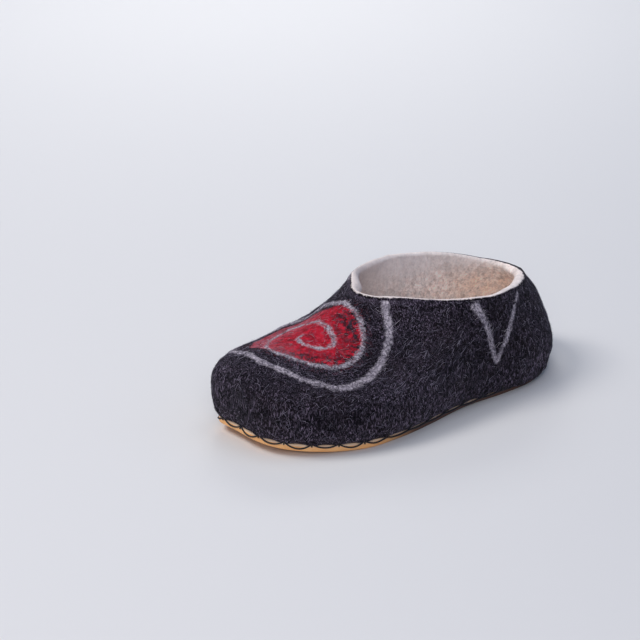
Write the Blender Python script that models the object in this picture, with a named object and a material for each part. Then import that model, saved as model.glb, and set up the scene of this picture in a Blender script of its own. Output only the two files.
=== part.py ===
"""A hand-felted wool slipper for the left foot, with a leather sole stitched on underneath.

Metres, +Z up, the toe points along -Y and the outer (little toe) side is +X.
The felt upper is lofted along meridians: each runs from the sole's edge, round the bulge of
the wall and up to the collar. A row of MERIDIANS gives one of them, going round the shoe.
"""

from typing import NamedTuple

import bpy
import numpy as np

# Driving sizes, outside the felt
LENGTH = 0.260
BALL_WIDTH = 0.108
THROAT_HEIGHT = 0.082
SOLE_THICKNESS = 0.0047
TOE_SPRING = 0.0070
FELT_WALL = 0.0060
INSOLE_THICKNESS = 0.0050
INSOLE_ROUND = 0.0013

# How the pieces meet
GAP = 0.0003
UNDERCUT = 0.0063
SOLE_MARGIN = 0.0012
HEEL_MARGIN = -0.0006
MARGIN_FROM = -0.068
MARGIN_TO = -0.042
SHORT_REACH = 0.03
SPRING_START = 0.72
WAIST_LIFT = 0.0010
WAIST_CENTRE = 0.40
WAIST_REACH = 0.13

# How fine the loft is
AROUND = 72
LOW_ROWS = 6
HIGH_ROWS = 17
RIM_ROWS = 3
LIP_START = 0.72


class Meridian(NamedTuple):
    """One line up the felt. Along is in % of LENGTH from the heel, across in % of BALL_WIDTH,
    heights, rise and lip in % of THROAT_HEIGHT, lead in % of LENGTH, slope in degrees."""

    along: float
    across: float
    height: float
    rim_along: float
    rim_across: float
    rim_height: float
    rise: float
    lead: float
    slope: float
    lip: float


MERIDIANS = {
    "toe tip": Meridian(100, -10, 37, 62.5, -2, 96, 38, 21.5, 27, 7),
    "toe outer": Meridian(96, 29, 34, 57.5, 17, 96, 30, 23.0, 46, 6),
    "ball outer": Meridian(71, 55.5, 30, 48.5, 27.5, 92.5, 22, 15.5, 66, 1.5),
    "waist outer": Meridian(44, 48.5, 36, 35.0, 38.5, 88, 20, 6.5, 73, 0),
    "quarter outer": Meridian(18, 44, 33, 20.5, 30.5, 83.5, 18, 5.5, 80, 0),
    "heel outer": Meridian(5.5, 23.5, 24, 12.0, 15, 81, 20, 3.0, 77, 0),
    "heel back": Meridian(0, -3.5, 26, 9.0, -3.5, 80, 19, 3.0, 75, 0),
    "heel inner": Meridian(5, -27, 27, 11.5, -20, 81, 18, 3.0, 77, 0),
    "quarter inner": Meridian(20, -37, 35, 22.5, -34, 88.5, 18, 7.0, 81, 0),
    "waist inner": Meridian(44, -36, 35, 36.5, -38.5, 96, 18, 6.5, 74, 0),
    "ball inner": Meridian(72, -44.5, 33, 51.0, -32.5, 100.5, 29, 11.0, 62, 3),
    "toe inner": Meridian(96.9, -35, 30, 58.5, -20, 99, 41, 22.0, 46, 7),
}


def closed_spline(values, count):
    """A smooth closed curve through the rows of values, read at count even steps."""
    size = len(values)
    here = np.arange(size)
    system = np.zeros((size, size))
    system[here, here] = 4
    system[here, (here + 1) % size] = 1
    system[here, here - 1] = 1
    rates = np.linalg.solve(system, 3 * (np.roll(values, -1, 0) - np.roll(values, 1, 0)))
    step = np.arange(count) * size / count
    first = step.astype(int)
    second = (first + 1) % size
    u = (step - first)[:, None]
    start, end = values[first], values[second]
    leave, arrive = rates[first], rates[second]
    square = u * u * (3 * (end - start) - 2 * leave - arrive)
    return start + u * leave + square + u**3 * (2 * (start - end) + leave + arrive)


def bezier(points, steps):
    """Cubic curves through arrays of four control points, read at each of steps."""
    u = steps[:, None, None]
    w = 1 - u
    a, b, c, d = points
    return w**3 * a + 3 * w * w * u * b + 3 * w * u * u * c + u**3 * d


def ease(x):
    """0 to 1 with no corner at either end."""
    x = np.clip(x, 0, 1)
    return x * x * (3 - 2 * x)


def unit(vectors):
    """Vectors of length one."""
    return vectors / np.linalg.norm(vectors, axis=-1, keepdims=True)


def flat(vectors):
    """The same vectors with no height."""
    return vectors * np.array([1, 1, 0])


def toe_lift(y):
    """How far the shoe's underside has left the floor by toe spring, at a place along it."""
    along = 0.5 - y / LENGTH
    reach = np.maximum(along - SPRING_START, 0) / (1 - SPRING_START)
    return TOE_SPRING * reach**2


def waist_lift(y):
    """The low arch of the sole between its flat heel and its flat ball."""
    along = 0.5 - y / LENGTH
    reach = np.clip((along - WAIST_CENTRE) / WAIST_REACH, -1, 1)
    return WAIST_LIFT * np.cos(reach * np.pi / 2) ** 2


def sole_margin(y):
    """How far the leather stands out past the felt's seam: at the forefoot only, and tucked in behind."""
    share = ease((y - MARGIN_FROM) / (MARGIN_TO - MARGIN_FROM))
    return SOLE_MARGIN * (1 - share) + HEEL_MARGIN * share


def with_height(points, height):
    """Copies of the points at a new height."""
    moved = points.copy()
    moved[..., 2] = height
    return moved


class Last:
    """The outer form of the felt, and the plan outlines worked out from it."""

    def __init__(self):
        rows = np.array(list(MERIDIANS.values()), float)
        scale = np.array(
            [LENGTH, BALL_WIDTH, THROAT_HEIGHT, LENGTH, BALL_WIDTH, THROAT_HEIGHT]
            + [THROAT_HEIGHT, LENGTH, 100, THROAT_HEIGHT]
        )
        lines = Meridian(*closed_spline(rows * scale / 100, AROUND).T)
        self.lines = lines
        middle = (lines.across.max() + lines.across.min()) / 2
        toe = lines.along.max()
        heel = lines.along.min()
        centre = (toe + heel) / 2
        self.bulge = np.stack([lines.across - middle, centre - lines.along, lines.height], 1)
        self.bulge[:, 2] += toe_lift(self.bulge[:, 1])
        self.rim = np.stack(
            [lines.rim_across - middle, centre - lines.rim_along, lines.rim_height - lines.lip], 1
        )
        ahead = np.roll(self.bulge, -1, 0) - np.roll(self.bulge, 1, 0)
        self.outward = unit(np.stack([-ahead[:, 1], ahead[:, 0], 0 * ahead[:, 0]], 1))
        if (self.outward * self.bulge).sum() < 0:
            self.outward = -self.outward
        self.feather = self.bulge - UNDERCUT * self.outward
        self.feather[:, 2] = SOLE_THICKNESS + GAP + toe_lift(self.feather[:, 1])

    def outer_skin(self):
        """Rows of points from the sole's edge up to the collar, over the whole felt."""
        up = np.array([0, 0, 1.0])
        fall = self.bulge[:, 2:] - self.feather[:, 2:]
        low = bezier(
            (
                self.feather,
                self.feather + 0.55 * UNDERCUT * self.outward + 0.001 * up,
                self.bulge - 0.55 * fall * up,
                self.bulge,
            ),
            np.linspace(0, 1, LOW_ROWS),
        )
        across = flat(self.bulge - self.rim)
        reach = np.linalg.norm(across, axis=1, keepdims=True)
        away = unit(across / np.maximum(reach, SHORT_REACH) + self.outward)
        slope = np.radians(self.lines.slope)[:, None]
        lead = self.lines.lead[:, None]
        steps = np.linspace(0, 1, HIGH_ROWS)
        high = bezier(
            (
                self.bulge,
                self.bulge + self.lines.rise[:, None] * up,
                self.rim + lead * (np.cos(slope) * away - np.sin(slope) * up),
                self.rim,
            ),
            steps,
        )
        lifted = ease((steps - LIP_START) / (1 - LIP_START))
        high[:, :, 2] += lifted[:, None] * self.lines.lip
        return np.concatenate([low[:-1], high])

    def inner_skin(self, outer):
        """The felt's inside: the outer skin moved in by the wall, level where it meets the sole."""
        round_shoe = np.roll(outer, -1, 1) - np.roll(outer, 1, 1)
        up_wall = np.gradient(outer, axis=0)
        facing = unit(np.cross(round_shoe, up_wall))
        if (facing * self.outward).sum() < 0:
            facing = -facing
        turn = ease(np.arange(len(outer)) / (LOW_ROWS + 1))[:, None, None]
        facing = unit(turn * facing + (1 - turn) * self.outward)
        return outer - FELT_WALL * facing


def rim_roll(outer_edge, inner_edge):
    """Rows that round the collar's cut edge from the outer skin over to the inner one."""
    middle = (outer_edge + inner_edge) / 2
    half = (outer_edge - inner_edge) / 2
    thickness = np.linalg.norm(half, axis=1, keepdims=True)
    up = np.array([0, 0, 1.0])
    turns = np.linspace(0, np.pi, RIM_ROWS + 2)[1:-1]
    return np.stack([middle + np.cos(a) * half + 0.7 * np.sin(a) * thickness * up for a in turns])


def ring_faces(rows, columns, wrap_rows):
    """Quads that join a grid of points whose columns run round and close."""
    last_row = rows if wrap_rows else rows - 1
    row, column = np.meshgrid(np.arange(last_row), np.arange(columns), indexing="ij")
    above = (row + 1) % rows * columns
    beside = (column + 1) % columns
    corners = (row * columns + column, row * columns + beside, above + beside, above + column)
    return np.stack(corners, -1).reshape(-1, 4).tolist()


def cap_faces(start, columns, turned):
    """Strips across a ring from its outer side to its inner one, from the toe to the heel."""
    faces = [[start, start + 1, start + columns - 1]]
    for i in range(1, columns // 2 - 1):
        faces.append([start + i, start + i + 1, start + columns - i - 1, start + columns - i])
    half = columns // 2
    faces.append([start + half - 1, start + half, start + half + 1])
    return [face[::-1] for face in faces] if turned else faces


def felt_material(name, colour):
    """Matt felted wool."""
    material = bpy.data.materials.new(name)
    material.use_nodes = True
    shader = material.node_tree.nodes["Principled BSDF"]
    shader.inputs["Base Color"].default_value = (*colour, 1)
    shader.inputs["Roughness"].default_value = 0.95
    shader.inputs["Metallic"].default_value = 0.0
    return material


def leather_material(name, colour):
    """Vegetable tanned leather with a slight polish."""
    material = felt_material(name, colour)
    material.node_tree.nodes["Principled BSDF"].inputs["Roughness"].default_value = 0.55
    return material


def add_solid(name, grid, faces, material):
    """A named object from rows of points, with its faces turned outwards."""
    mesh = bpy.data.meshes.new(name)
    mesh.from_pydata(grid.reshape(-1, 3).tolist(), [], faces)
    mesh.materials.append(material)
    if signed_volume(mesh) < 0:
        mesh.flip_normals()
    mesh.shade_smooth()
    mesh.set_sharp_from_angle(angle=np.radians(40))
    solid = bpy.data.objects.new(name, mesh)
    bpy.context.scene.collection.objects.link(solid)
    return solid


def signed_volume(mesh):
    """The volume inside a closed mesh, negative where it is inside out."""
    mesh.calc_loop_triangles()
    corners = np.empty(len(mesh.vertices) * 3)
    mesh.vertices.foreach_get("co", corners)
    triangles = np.empty(len(mesh.loop_triangles) * 3, int)
    mesh.loop_triangles.foreach_get("vertices", triangles)
    return np.linalg.det(corners.reshape(-1, 3)[triangles.reshape(-1, 3)]).sum() / 6


def make_upper(outer, inner):
    """The felt shell: open at the collar, and underneath where the sole closes it."""
    rows = np.concatenate([outer, rim_roll(outer[-1], inner[-1]), inner[::-1]])
    faces = ring_faces(len(rows), AROUND, wrap_rows=True)
    charcoal = felt_material("charcoal_felt", (0.030, 0.028, 0.034))
    return add_solid("upper", rows, faces, charcoal)


def make_sole(last):
    """The leather sole: flat under heel and ball, low at the waist, sprung at the toe."""
    edge = last.feather + sole_margin(last.feather[:, 1:2]) * last.outward
    under = toe_lift(edge[:, 1]) + waist_lift(edge[:, 1])
    top = SOLE_THICKNESS + toe_lift(edge[:, 1])
    profile = ((0.0022, 0.0), (0.0006, 0.0008), (0.0, 0.0020))
    rows = [with_height(edge - inset * last.outward, under + lift) for inset, lift in profile]
    rows.append(with_height(edge - 0.0002 * last.outward, top - 0.0007))
    rows.append(with_height(edge - 0.0009 * last.outward, top))
    faces = ring_faces(len(rows), AROUND, wrap_rows=False)
    faces += cap_faces(0, AROUND, turned=True)
    faces += cap_faces((len(rows) - 1) * AROUND, AROUND, turned=False)
    tan = leather_material("tan_leather", (0.62, 0.36, 0.16))
    return add_solid("sole", np.stack(rows), faces, tan)


def make_insole(last, inner):
    """The felt footbed that fills the upper's open underside, resting on the sole."""
    base = inner[0, :, 2]
    top = base + INSOLE_THICKNESS
    shoulder = top - INSOLE_ROUND
    level = [np.interp(shoulder[i], inner[:8, i, 2], np.arange(8)) for i in range(AROUND)]
    below = np.array(level).astype(int)
    share = (level - below)[:, None]
    column = np.arange(AROUND)
    wall = inner[below, column] * (1 - share) + inner[below + 1, column] * share
    profile = ((inner[0], GAP, base), (wall, GAP, shoulder), (wall, GAP + INSOLE_ROUND, top))
    rows = [with_height(ring - inset * last.outward, z) for ring, inset, z in profile]
    faces = ring_faces(len(rows), AROUND, wrap_rows=False)
    faces += cap_faces(0, AROUND, turned=True)
    faces += cap_faces((len(rows) - 1) * AROUND, AROUND, turned=False)
    cream = felt_material("cream_felt", (0.62, 0.54, 0.46))
    return add_solid("insole", np.stack(rows), faces, cream)


def main():
    """Clears the scene and builds the slipper's three pieces."""
    for thing in list(bpy.data.objects):
        bpy.data.objects.remove(thing)
    last = Last()
    outer = last.outer_skin()
    inner = last.inner_skin(outer)
    make_upper(outer, inner)
    make_sole(last)
    make_insole(last, inner)


main()
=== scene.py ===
"""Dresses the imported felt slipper: a wool shell with its inlaid pattern, its loose fibres, the leather
sole with its blanket stitch and the felt footbed, on a plain floor under soft light.

Every length is in metres unless its name ends in _mm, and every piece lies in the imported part's frame:
the toe points along -Y, the outer side of the left foot is +X. Two numbers name a place on the felt.
"Round" goes round the shoe in twelve steps, from the toe's tip (0) along the outer side to the heel (6)
and back along the inner side (12). "Up" is 0 at the sole's edge, 1 at the widest line, 2 at the collar.
"""

import logging
from dataclasses import dataclass, field
from enum import Enum
from typing import Any, NamedTuple, Sequence

import bmesh
import bpy
import numpy as np
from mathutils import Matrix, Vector

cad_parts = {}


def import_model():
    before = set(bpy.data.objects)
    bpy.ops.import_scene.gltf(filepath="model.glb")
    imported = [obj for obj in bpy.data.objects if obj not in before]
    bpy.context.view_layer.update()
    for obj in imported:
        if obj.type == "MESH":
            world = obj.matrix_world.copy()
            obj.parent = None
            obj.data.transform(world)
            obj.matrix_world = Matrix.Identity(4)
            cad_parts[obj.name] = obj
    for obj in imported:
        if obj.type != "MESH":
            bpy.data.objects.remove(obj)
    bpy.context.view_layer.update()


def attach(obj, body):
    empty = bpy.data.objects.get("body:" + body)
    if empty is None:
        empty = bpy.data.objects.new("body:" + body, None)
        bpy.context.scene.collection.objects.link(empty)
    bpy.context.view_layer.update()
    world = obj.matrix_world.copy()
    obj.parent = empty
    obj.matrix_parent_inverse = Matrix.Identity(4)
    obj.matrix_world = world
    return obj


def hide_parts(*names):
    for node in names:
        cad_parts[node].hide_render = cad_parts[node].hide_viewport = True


LOG = logging.getLogger("felt_slipper")
Array = np.ndarray
Colour = tuple[float, float, float]
Point = tuple[float, float, float]
MM = 0.001
STEPS_ROUND = 12
FULL_TURN = 2 * np.pi
FAR_MM = 50.0
TINY = 1e-12
UP = np.array([0.0, 0.0, 1.0])
Socket = bpy.types.NodeSocket


class Meridian(NamedTuple):
    """One line up the felt. Along is in % of the length from the heel, across in % of the ball's
    width, heights, rise and lip in % of the throat's height, lead in % of the length, slope in degrees."""

    along: float
    across: float
    height: float
    rim_along: float
    rim_across: float
    rim_height: float
    rise: float
    lead: float
    slope: float
    lip: float


MERIDIANS = {
    "toe tip": Meridian(100, -10, 37, 62.5, -2, 96, 38, 21.5, 27, 7),
    "toe outer": Meridian(96, 29, 34, 57.5, 17, 96, 30, 23.0, 46, 6),
    "ball outer": Meridian(71, 55.5, 30, 48.5, 27.5, 92.5, 22, 15.5, 66, 1.5),
    "waist outer": Meridian(44, 48.5, 36, 35.0, 38.5, 88, 20, 6.5, 73, 0),
    "quarter outer": Meridian(18, 44, 33, 20.5, 30.5, 83.5, 18, 5.5, 80, 0),
    "heel outer": Meridian(5.5, 23.5, 24, 12.0, 15, 81, 20, 3.0, 77, 0),
    "heel back": Meridian(0, -3.5, 26, 9.0, -3.5, 80, 19, 3.0, 75, 0),
    "heel inner": Meridian(5, -27, 27, 11.5, -20, 81, 18, 3.0, 77, 0),
    "quarter inner": Meridian(20, -37, 35, 22.5, -34, 88.5, 18, 7.0, 81, 0),
    "waist inner": Meridian(44, -36, 35, 36.5, -38.5, 96, 18, 6.5, 74, 0),
    "ball inner": Meridian(72, -44.5, 33, 51.0, -32.5, 100.5, 29, 11.0, 62, 3),
    "toe inner": Meridian(96.9, -35, 30, 58.5, -20, 99, 41, 22.0, 46, 7),
}


class Stroke(NamedTuple):
    """A place that a stroke of pale wool passes through, and its width there."""

    round: float
    up: float
    width_mm: float


OUTER_ARC = (
    Stroke(0.82, 2.00, 5.0),
    Stroke(1.00, 1.94, 4.8),
    Stroke(1.17, 1.88, 4.8),
    Stroke(1.30, 1.78, 4.8),
    Stroke(1.39, 1.65, 4.6),
    Stroke(1.43, 1.53, 4.8),
    Stroke(1.37, 1.46, 4.6),
    Stroke(1.26, 1.40, 4.6),
    Stroke(1.05, 1.42, 4.0),
    Stroke(0.56, 1.41, 3.8),
    Stroke(0.20, 1.37, 3.8),
    Stroke(-0.30, 1.38, 4.2),
    Stroke(-0.60, 1.365, 4.4),
    Stroke(-0.86, 1.315, 4.6),
    Stroke(-1.08, 1.33, 5.0),
    Stroke(-1.28, 1.39, 5.6),
    Stroke(-1.43, 1.48, 6.0),
    Stroke(-1.30, 1.63, 5.5),
    Stroke(-1.04, 1.80, 5.0),
    Stroke(-0.70, 1.90, 4.0),
    Stroke(-0.10, 1.95, 3.2),
)
DROP_BORDER = (
    Stroke(-0.10, 1.95, 3.2),
    Stroke(0.28, 1.935, 3.0),
    Stroke(0.60, 1.90, 3.0),
    Stroke(0.87, 1.82, 3.2),
    Stroke(0.97, 1.72, 3.2),
    Stroke(0.93, 1.62, 3.4),
    Stroke(0.72, 1.575, 3.0),
    Stroke(0.42, 1.535, 2.6),
    Stroke(0.04, 1.50, 2.4),
    Stroke(-0.27, 1.52, 2.2),
)
SPIRAL = (
    Stroke(-0.27, 1.52, 2.4),
    Stroke(-0.58, 1.60, 2.8),
    Stroke(-0.74, 1.68, 3.0),
    Stroke(-0.68, 1.75, 3.0),
    Stroke(-0.42, 1.81, 3.0),
    Stroke(-0.10, 1.82, 3.2),
    Stroke(0.30, 1.81, 3.4),
    Stroke(0.54, 1.76, 3.4),
    Stroke(0.50, 1.70, 3.0),
    Stroke(0.25, 1.67, 2.8),
    Stroke(0.00, 1.68, 2.4),
    Stroke(-0.15, 1.72, 1.8),
)
OUTER_V_FRONT = (
    Stroke(2.82, 1.93, 6.0),
    Stroke(2.96, 1.81, 4.8),
    Stroke(3.13, 1.62, 4.2),
    Stroke(3.26, 1.37, 3.8),
    Stroke(3.385, 1.00, 2.8),
)
OUTER_V_BACK = (
    Stroke(3.385, 1.00, 2.8),
    Stroke(3.50, 1.32, 2.8),
    Stroke(3.58, 1.55, 2.8),
    Stroke(3.72, 1.76, 2.6),
    Stroke(3.92, 1.93, 2.2),
)
INNER_V_FRONT = (
    Stroke(10.72, 1.99, 5.0),
    Stroke(10.38, 1.95, 5.0),
    Stroke(9.77, 1.73, 4.5),
    Stroke(9.48, 1.53, 4.0),
    Stroke(9.20, 1.08, 3.0),
)
INNER_V_BACK = (
    Stroke(9.20, 1.08, 3.0),
    Stroke(9.11, 1.40, 3.5),
    Stroke(9.12, 1.70, 4.5),
    Stroke(9.26, 1.99, 6.0),
)
STROKES = (OUTER_ARC, DROP_BORDER, SPIRAL, OUTER_V_FRONT, OUTER_V_BACK, INNER_V_FRONT, INNER_V_BACK)


class Place(NamedTuple):
    """A place on the felt."""

    round: float
    up: float


RED_DROP = (
    Place(-0.52, 1.455),
    Place(-0.25, 1.485),
    Place(0.04, 1.50),
    Place(0.42, 1.535),
    Place(0.72, 1.575),
    Place(0.93, 1.62),
    Place(0.97, 1.72),
    Place(0.87, 1.82),
    Place(0.60, 1.90),
    Place(0.28, 1.935),
    Place(-0.20, 1.925),
    Place(-0.57, 1.88),
    Place(-0.80, 1.82),
    Place(-0.95, 1.70),
    Place(-1.05, 1.58),
    Place(-0.82, 1.50),
)


def unit(vectors: Array) -> Array:
    """Vectors of length one: each divided by its own length."""
    return vectors / (np.linalg.norm(vectors, axis=-1, keepdims=True) + TINY)


def ease(x: Array) -> Array:
    """0 to 1 with no corner at either end: x squared times (3 - 2x), with x held between 0 and 1."""
    x = np.clip(x, 0, 1)
    return x * x * (3 - 2 * x)


def closed_spline(values: Array, at: Array) -> Array:
    """A smooth closed curve through the rows of values.

    The slopes at the rows solve the tridiagonal system that makes the second derivative continuous,
    and between two rows the curve is the cubic with those ends and slopes.

    Args:
        values: One row for each whole step round the curve.
        at: Where to read it, in steps.

    Returns:
        One row for each entry of at.
    """
    size = len(values)
    here = np.arange(size)
    system = np.zeros((size, size))
    system[here, here] = 4
    system[here, (here + 1) % size] = 1
    system[here, here - 1] = 1
    rates = np.linalg.solve(system, 3 * (np.roll(values, -1, 0) - np.roll(values, 1, 0)))
    at = np.mod(at, size)
    first = np.minimum(at.astype(int), size - 1)
    second = (first + 1) % size
    u = (at - first)[:, None]
    start, end = values[first], values[second]
    leave, arrive = rates[first], rates[second]
    square = u * u * (3 * (end - start) - 2 * leave - arrive)
    return start + u * leave + square + u**3 * (2 * (start - end) + leave + arrive)


def open_spline(values: Array, count: int) -> Array:
    """A smooth open curve through the rows of values, read at count even steps.

    Between two rows it is the cubic whose slope at each row is half the step between its neighbours.

    Args:
        values: One row for each point on the way.
        count: How many rows to give back.

    Returns:
        An array of count rows.
    """
    padded = np.concatenate([2 * values[:1] - values[1:2], values, 2 * values[-1:] - values[-2:-1]])
    at = np.linspace(0, len(values) - 1, count)
    first = np.minimum(at.astype(int), len(values) - 2)
    u = (at - first)[:, None]
    before, start, end, after = (padded[first + k] for k in range(4))
    cubic = (3 * (start - end) + after - before) * u**3
    square = (2 * before - 5 * start + 4 * end - after) * u**2
    return start + 0.5 * ((end - before) * u + square + cubic)


def bezier(points: Sequence[Array], steps: Array) -> Array:
    """Cubic curves through arrays of four control points, weighted by the Bernstein polynomials.

    Args:
        points: The four control points of every curve, each an array of rows.
        steps: Where to read the curves, from 0 to 1.

    Returns:
        One array of rows for each step.
    """
    u = steps[:, None, None]
    w = 1 - u
    a, b, c, d = points
    return w**3 * a + 3 * w * w * u * b + 3 * w * u * u * c + u**3 * d


def lumps(points: Array, wavelength: float, seed: int) -> Array:
    """Smooth random unevenness of about -1 to 1: the mean of waves in random directions.

    Args:
        points: Places in space, in metres.
        wavelength: The size of a lump and the hollow beside it, in metres.
        seed: Which unevenness.

    Returns:
        One number for each place.
    """
    chance = np.random.default_rng(seed)
    waves = 20
    directions = unit(chance.normal(size=(waves, 3))) * (FULL_TURN / wavelength)
    directions *= chance.uniform(0.6, 1.5, (waves, 1))
    phases = chance.uniform(0, FULL_TURN, waves)
    return np.sin(points @ directions.T + phases).sum(-1) / np.sqrt(waves * 2)


def inside(places: Array, outline: Array) -> Array:
    """Which places lie inside a closed outline: those with an odd number of its edges to one side.

    Args:
        places: Rows of two coordinates.
        outline: The outline's corners, in the same coordinates.

    Returns:
        True or False for each place.
    """
    start = outline
    end = np.roll(outline, -1, 0)
    x, y = places[:, :1], places[:, 1:]
    spans = (start[:, 1] > y) != (end[:, 1] > y)
    rise = np.where(end[:, 1] == start[:, 1], TINY, end[:, 1] - start[:, 1])
    cross = start[:, 0] + (y - start[:, 1]) / rise * (end[:, 0] - start[:, 0])
    return (spans & (x < cross)).sum(1) % 2 == 1


def nearest(points: Array, curve: Array) -> tuple[Array, Array]:
    """The way from each point to a curve's closest sample, from |p|^2 + |c|^2 - 2 p.c for every pair.

    Args:
        points: Rows of three coordinates.
        curve: The samples, as rows of three coordinates.

    Returns:
        How far each point is from the curve, and the number of the sample that is closest to it.
    """
    best = np.empty(len(points))
    which = np.empty(len(points), int)
    rows_at_once = 8000
    for part in np.array_split(np.arange(len(points)), max(1, len(points) // rows_at_once)):
        away = (points[part] ** 2).sum(1)[:, None] + (curve**2).sum(1) - 2 * points[part] @ curve.T
        which[part] = away.argmin(1)
        best[part] = np.sqrt(np.maximum(away.min(1), 0))
    return best, which


def ring_quads(rows: int, columns: int, wrap_rows: bool = False) -> Array:
    """Quads that join a grid of points whose columns run round and close.

    Args:
        rows: How many rows the grid has.
        columns: How many points each row has.
        wrap_rows: Whether the last row joins the first one.

    Returns:
        Rows of four corner numbers.
    """
    last_row = rows if wrap_rows else rows - 1
    row, column = np.meshgrid(np.arange(last_row), np.arange(columns), indexing="ij")
    above = (row + 1) % rows * columns
    beside = (column + 1) % columns
    corners = (row * columns + column, row * columns + beside, above + beside, above + column)
    return np.stack(corners, -1).reshape(-1, 4)


def sheet_quads(rows: int, columns: int, start: int) -> Array:
    """Quads of an open grid.

    Args:
        rows: How many rows the grid has.
        columns: How many points each row has.
        start: The number of its first point.

    Returns:
        Rows of four corner numbers.
    """
    row, column = np.meshgrid(np.arange(rows - 1), np.arange(columns - 1), indexing="ij")
    first = start + row * columns + column
    return np.stack([first, first + 1, first + columns + 1, first + columns], -1).reshape(-1, 4)


def prisms(corners: Sequence[Array]) -> tuple[Array, list[list[int]]]:
    """Closed prisms along many paths at once: a ring of corners at each step, joined to the next one.

    Args:
        corners: For each corner of the cross-section, an array of (steps, paths, 3).

    Returns:
        The points, one path after another, and the faces, with both ends of each prism closed.
    """
    ring = np.stack(corners, 2).transpose(1, 0, 2, 3)
    number = np.arange(ring[..., 0].size).reshape(ring.shape[:3])
    here, there = number[:, :-1], number[:, 1:]
    quads = np.stack([here, np.roll(here, -1, 2), np.roll(there, -1, 2), there], -1).reshape(-1, 4)
    ends = np.concatenate([number[:, 0, ::-1], number[:, -1]])
    return ring.reshape(-1, 3), [*quads.tolist(), *ends.tolist()]


def cap_grid(edge: Array, columns: int) -> Array:
    """Rows of points that fill a ring: straight lines from each of its points to the one across.

    Args:
        edge: The ring, an even number of points from the toe round to the toe.
        columns: How many points each line has.

    Returns:
        An array of (half the ring + 1, columns, 3). Its first and last lines are single places.
    """
    half = len(edge) // 2
    outer = edge[: half + 1]
    inner = edge[(-np.arange(half + 1)) % len(edge)]
    across = np.linspace(0, 1, columns)[:, None]
    return outer[:, None] * (1 - across) + inner[:, None] * across


def face_outwards(piece: bpy.types.Object) -> None:
    """Turns a closed piece's faces outwards, by the sign of the volume that they enclose.

    A flat piece encloses none, and stays as it is.

    Args:
        piece: The piece.
    """
    mesh = piece.data
    mesh.calc_loop_triangles()
    corners = np.empty(len(mesh.vertices) * 3)
    mesh.vertices.foreach_get("co", corners)
    triangles = np.empty(len(mesh.loop_triangles) * 3, int)
    mesh.loop_triangles.foreach_get("vertices", triangles)
    if np.linalg.det(corners.reshape(-1, 3)[triangles.reshape(-1, 3)]).sum() < 0:
        mesh.flip_normals()


def make_piece(
    name: str,
    points: Array,
    quads: Array,
    material: bpy.types.Material,
    weld: bool = False,
    fields: dict[str, Array] | None = None,
) -> bpy.types.Object:
    """A named smooth mesh object at the origin, with its faces turned outwards.

    Args:
        name: The piece's name.
        points: Rows of three coordinates, in metres.
        quads: Rows of four corner numbers, or of three.
        material: Its finish.
        weld: Whether to join points that share a place, and drop the faces that this folds up.
        fields: Numbers or colours for each point, by name.

    Returns:
        The new object, linked to the scene.
    """
    mesh = bpy.data.meshes.new(name)
    mesh.from_pydata(points.reshape(-1, 3), [], quads)
    for title, values in (fields or {}).items():
        kind = "FLOAT_COLOR" if values.ndim == 2 else "FLOAT"
        layer = mesh.attributes.new(title, kind, "POINT")
        layer.data.foreach_set("color" if values.ndim == 2 else "value", values.ravel().astype(np.float32))
    if weld:
        shaped = bmesh.new()
        shaped.from_mesh(mesh)
        bmesh.ops.remove_doubles(shaped, verts=shaped.verts, dist=1e-6)
        bmesh.ops.recalc_face_normals(shaped, faces=shaped.faces)
        shaped.to_mesh(mesh)
        shaped.free()
    mesh.shade_smooth()
    mesh.materials.append(material)
    mesh.update()
    piece = bpy.data.objects.new(name, mesh)
    bpy.context.scene.collection.objects.link(piece)
    face_outwards(piece)
    LOG.info("%s: %d points, %d faces", name, len(mesh.vertices), len(mesh.polygons))
    return piece


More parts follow.
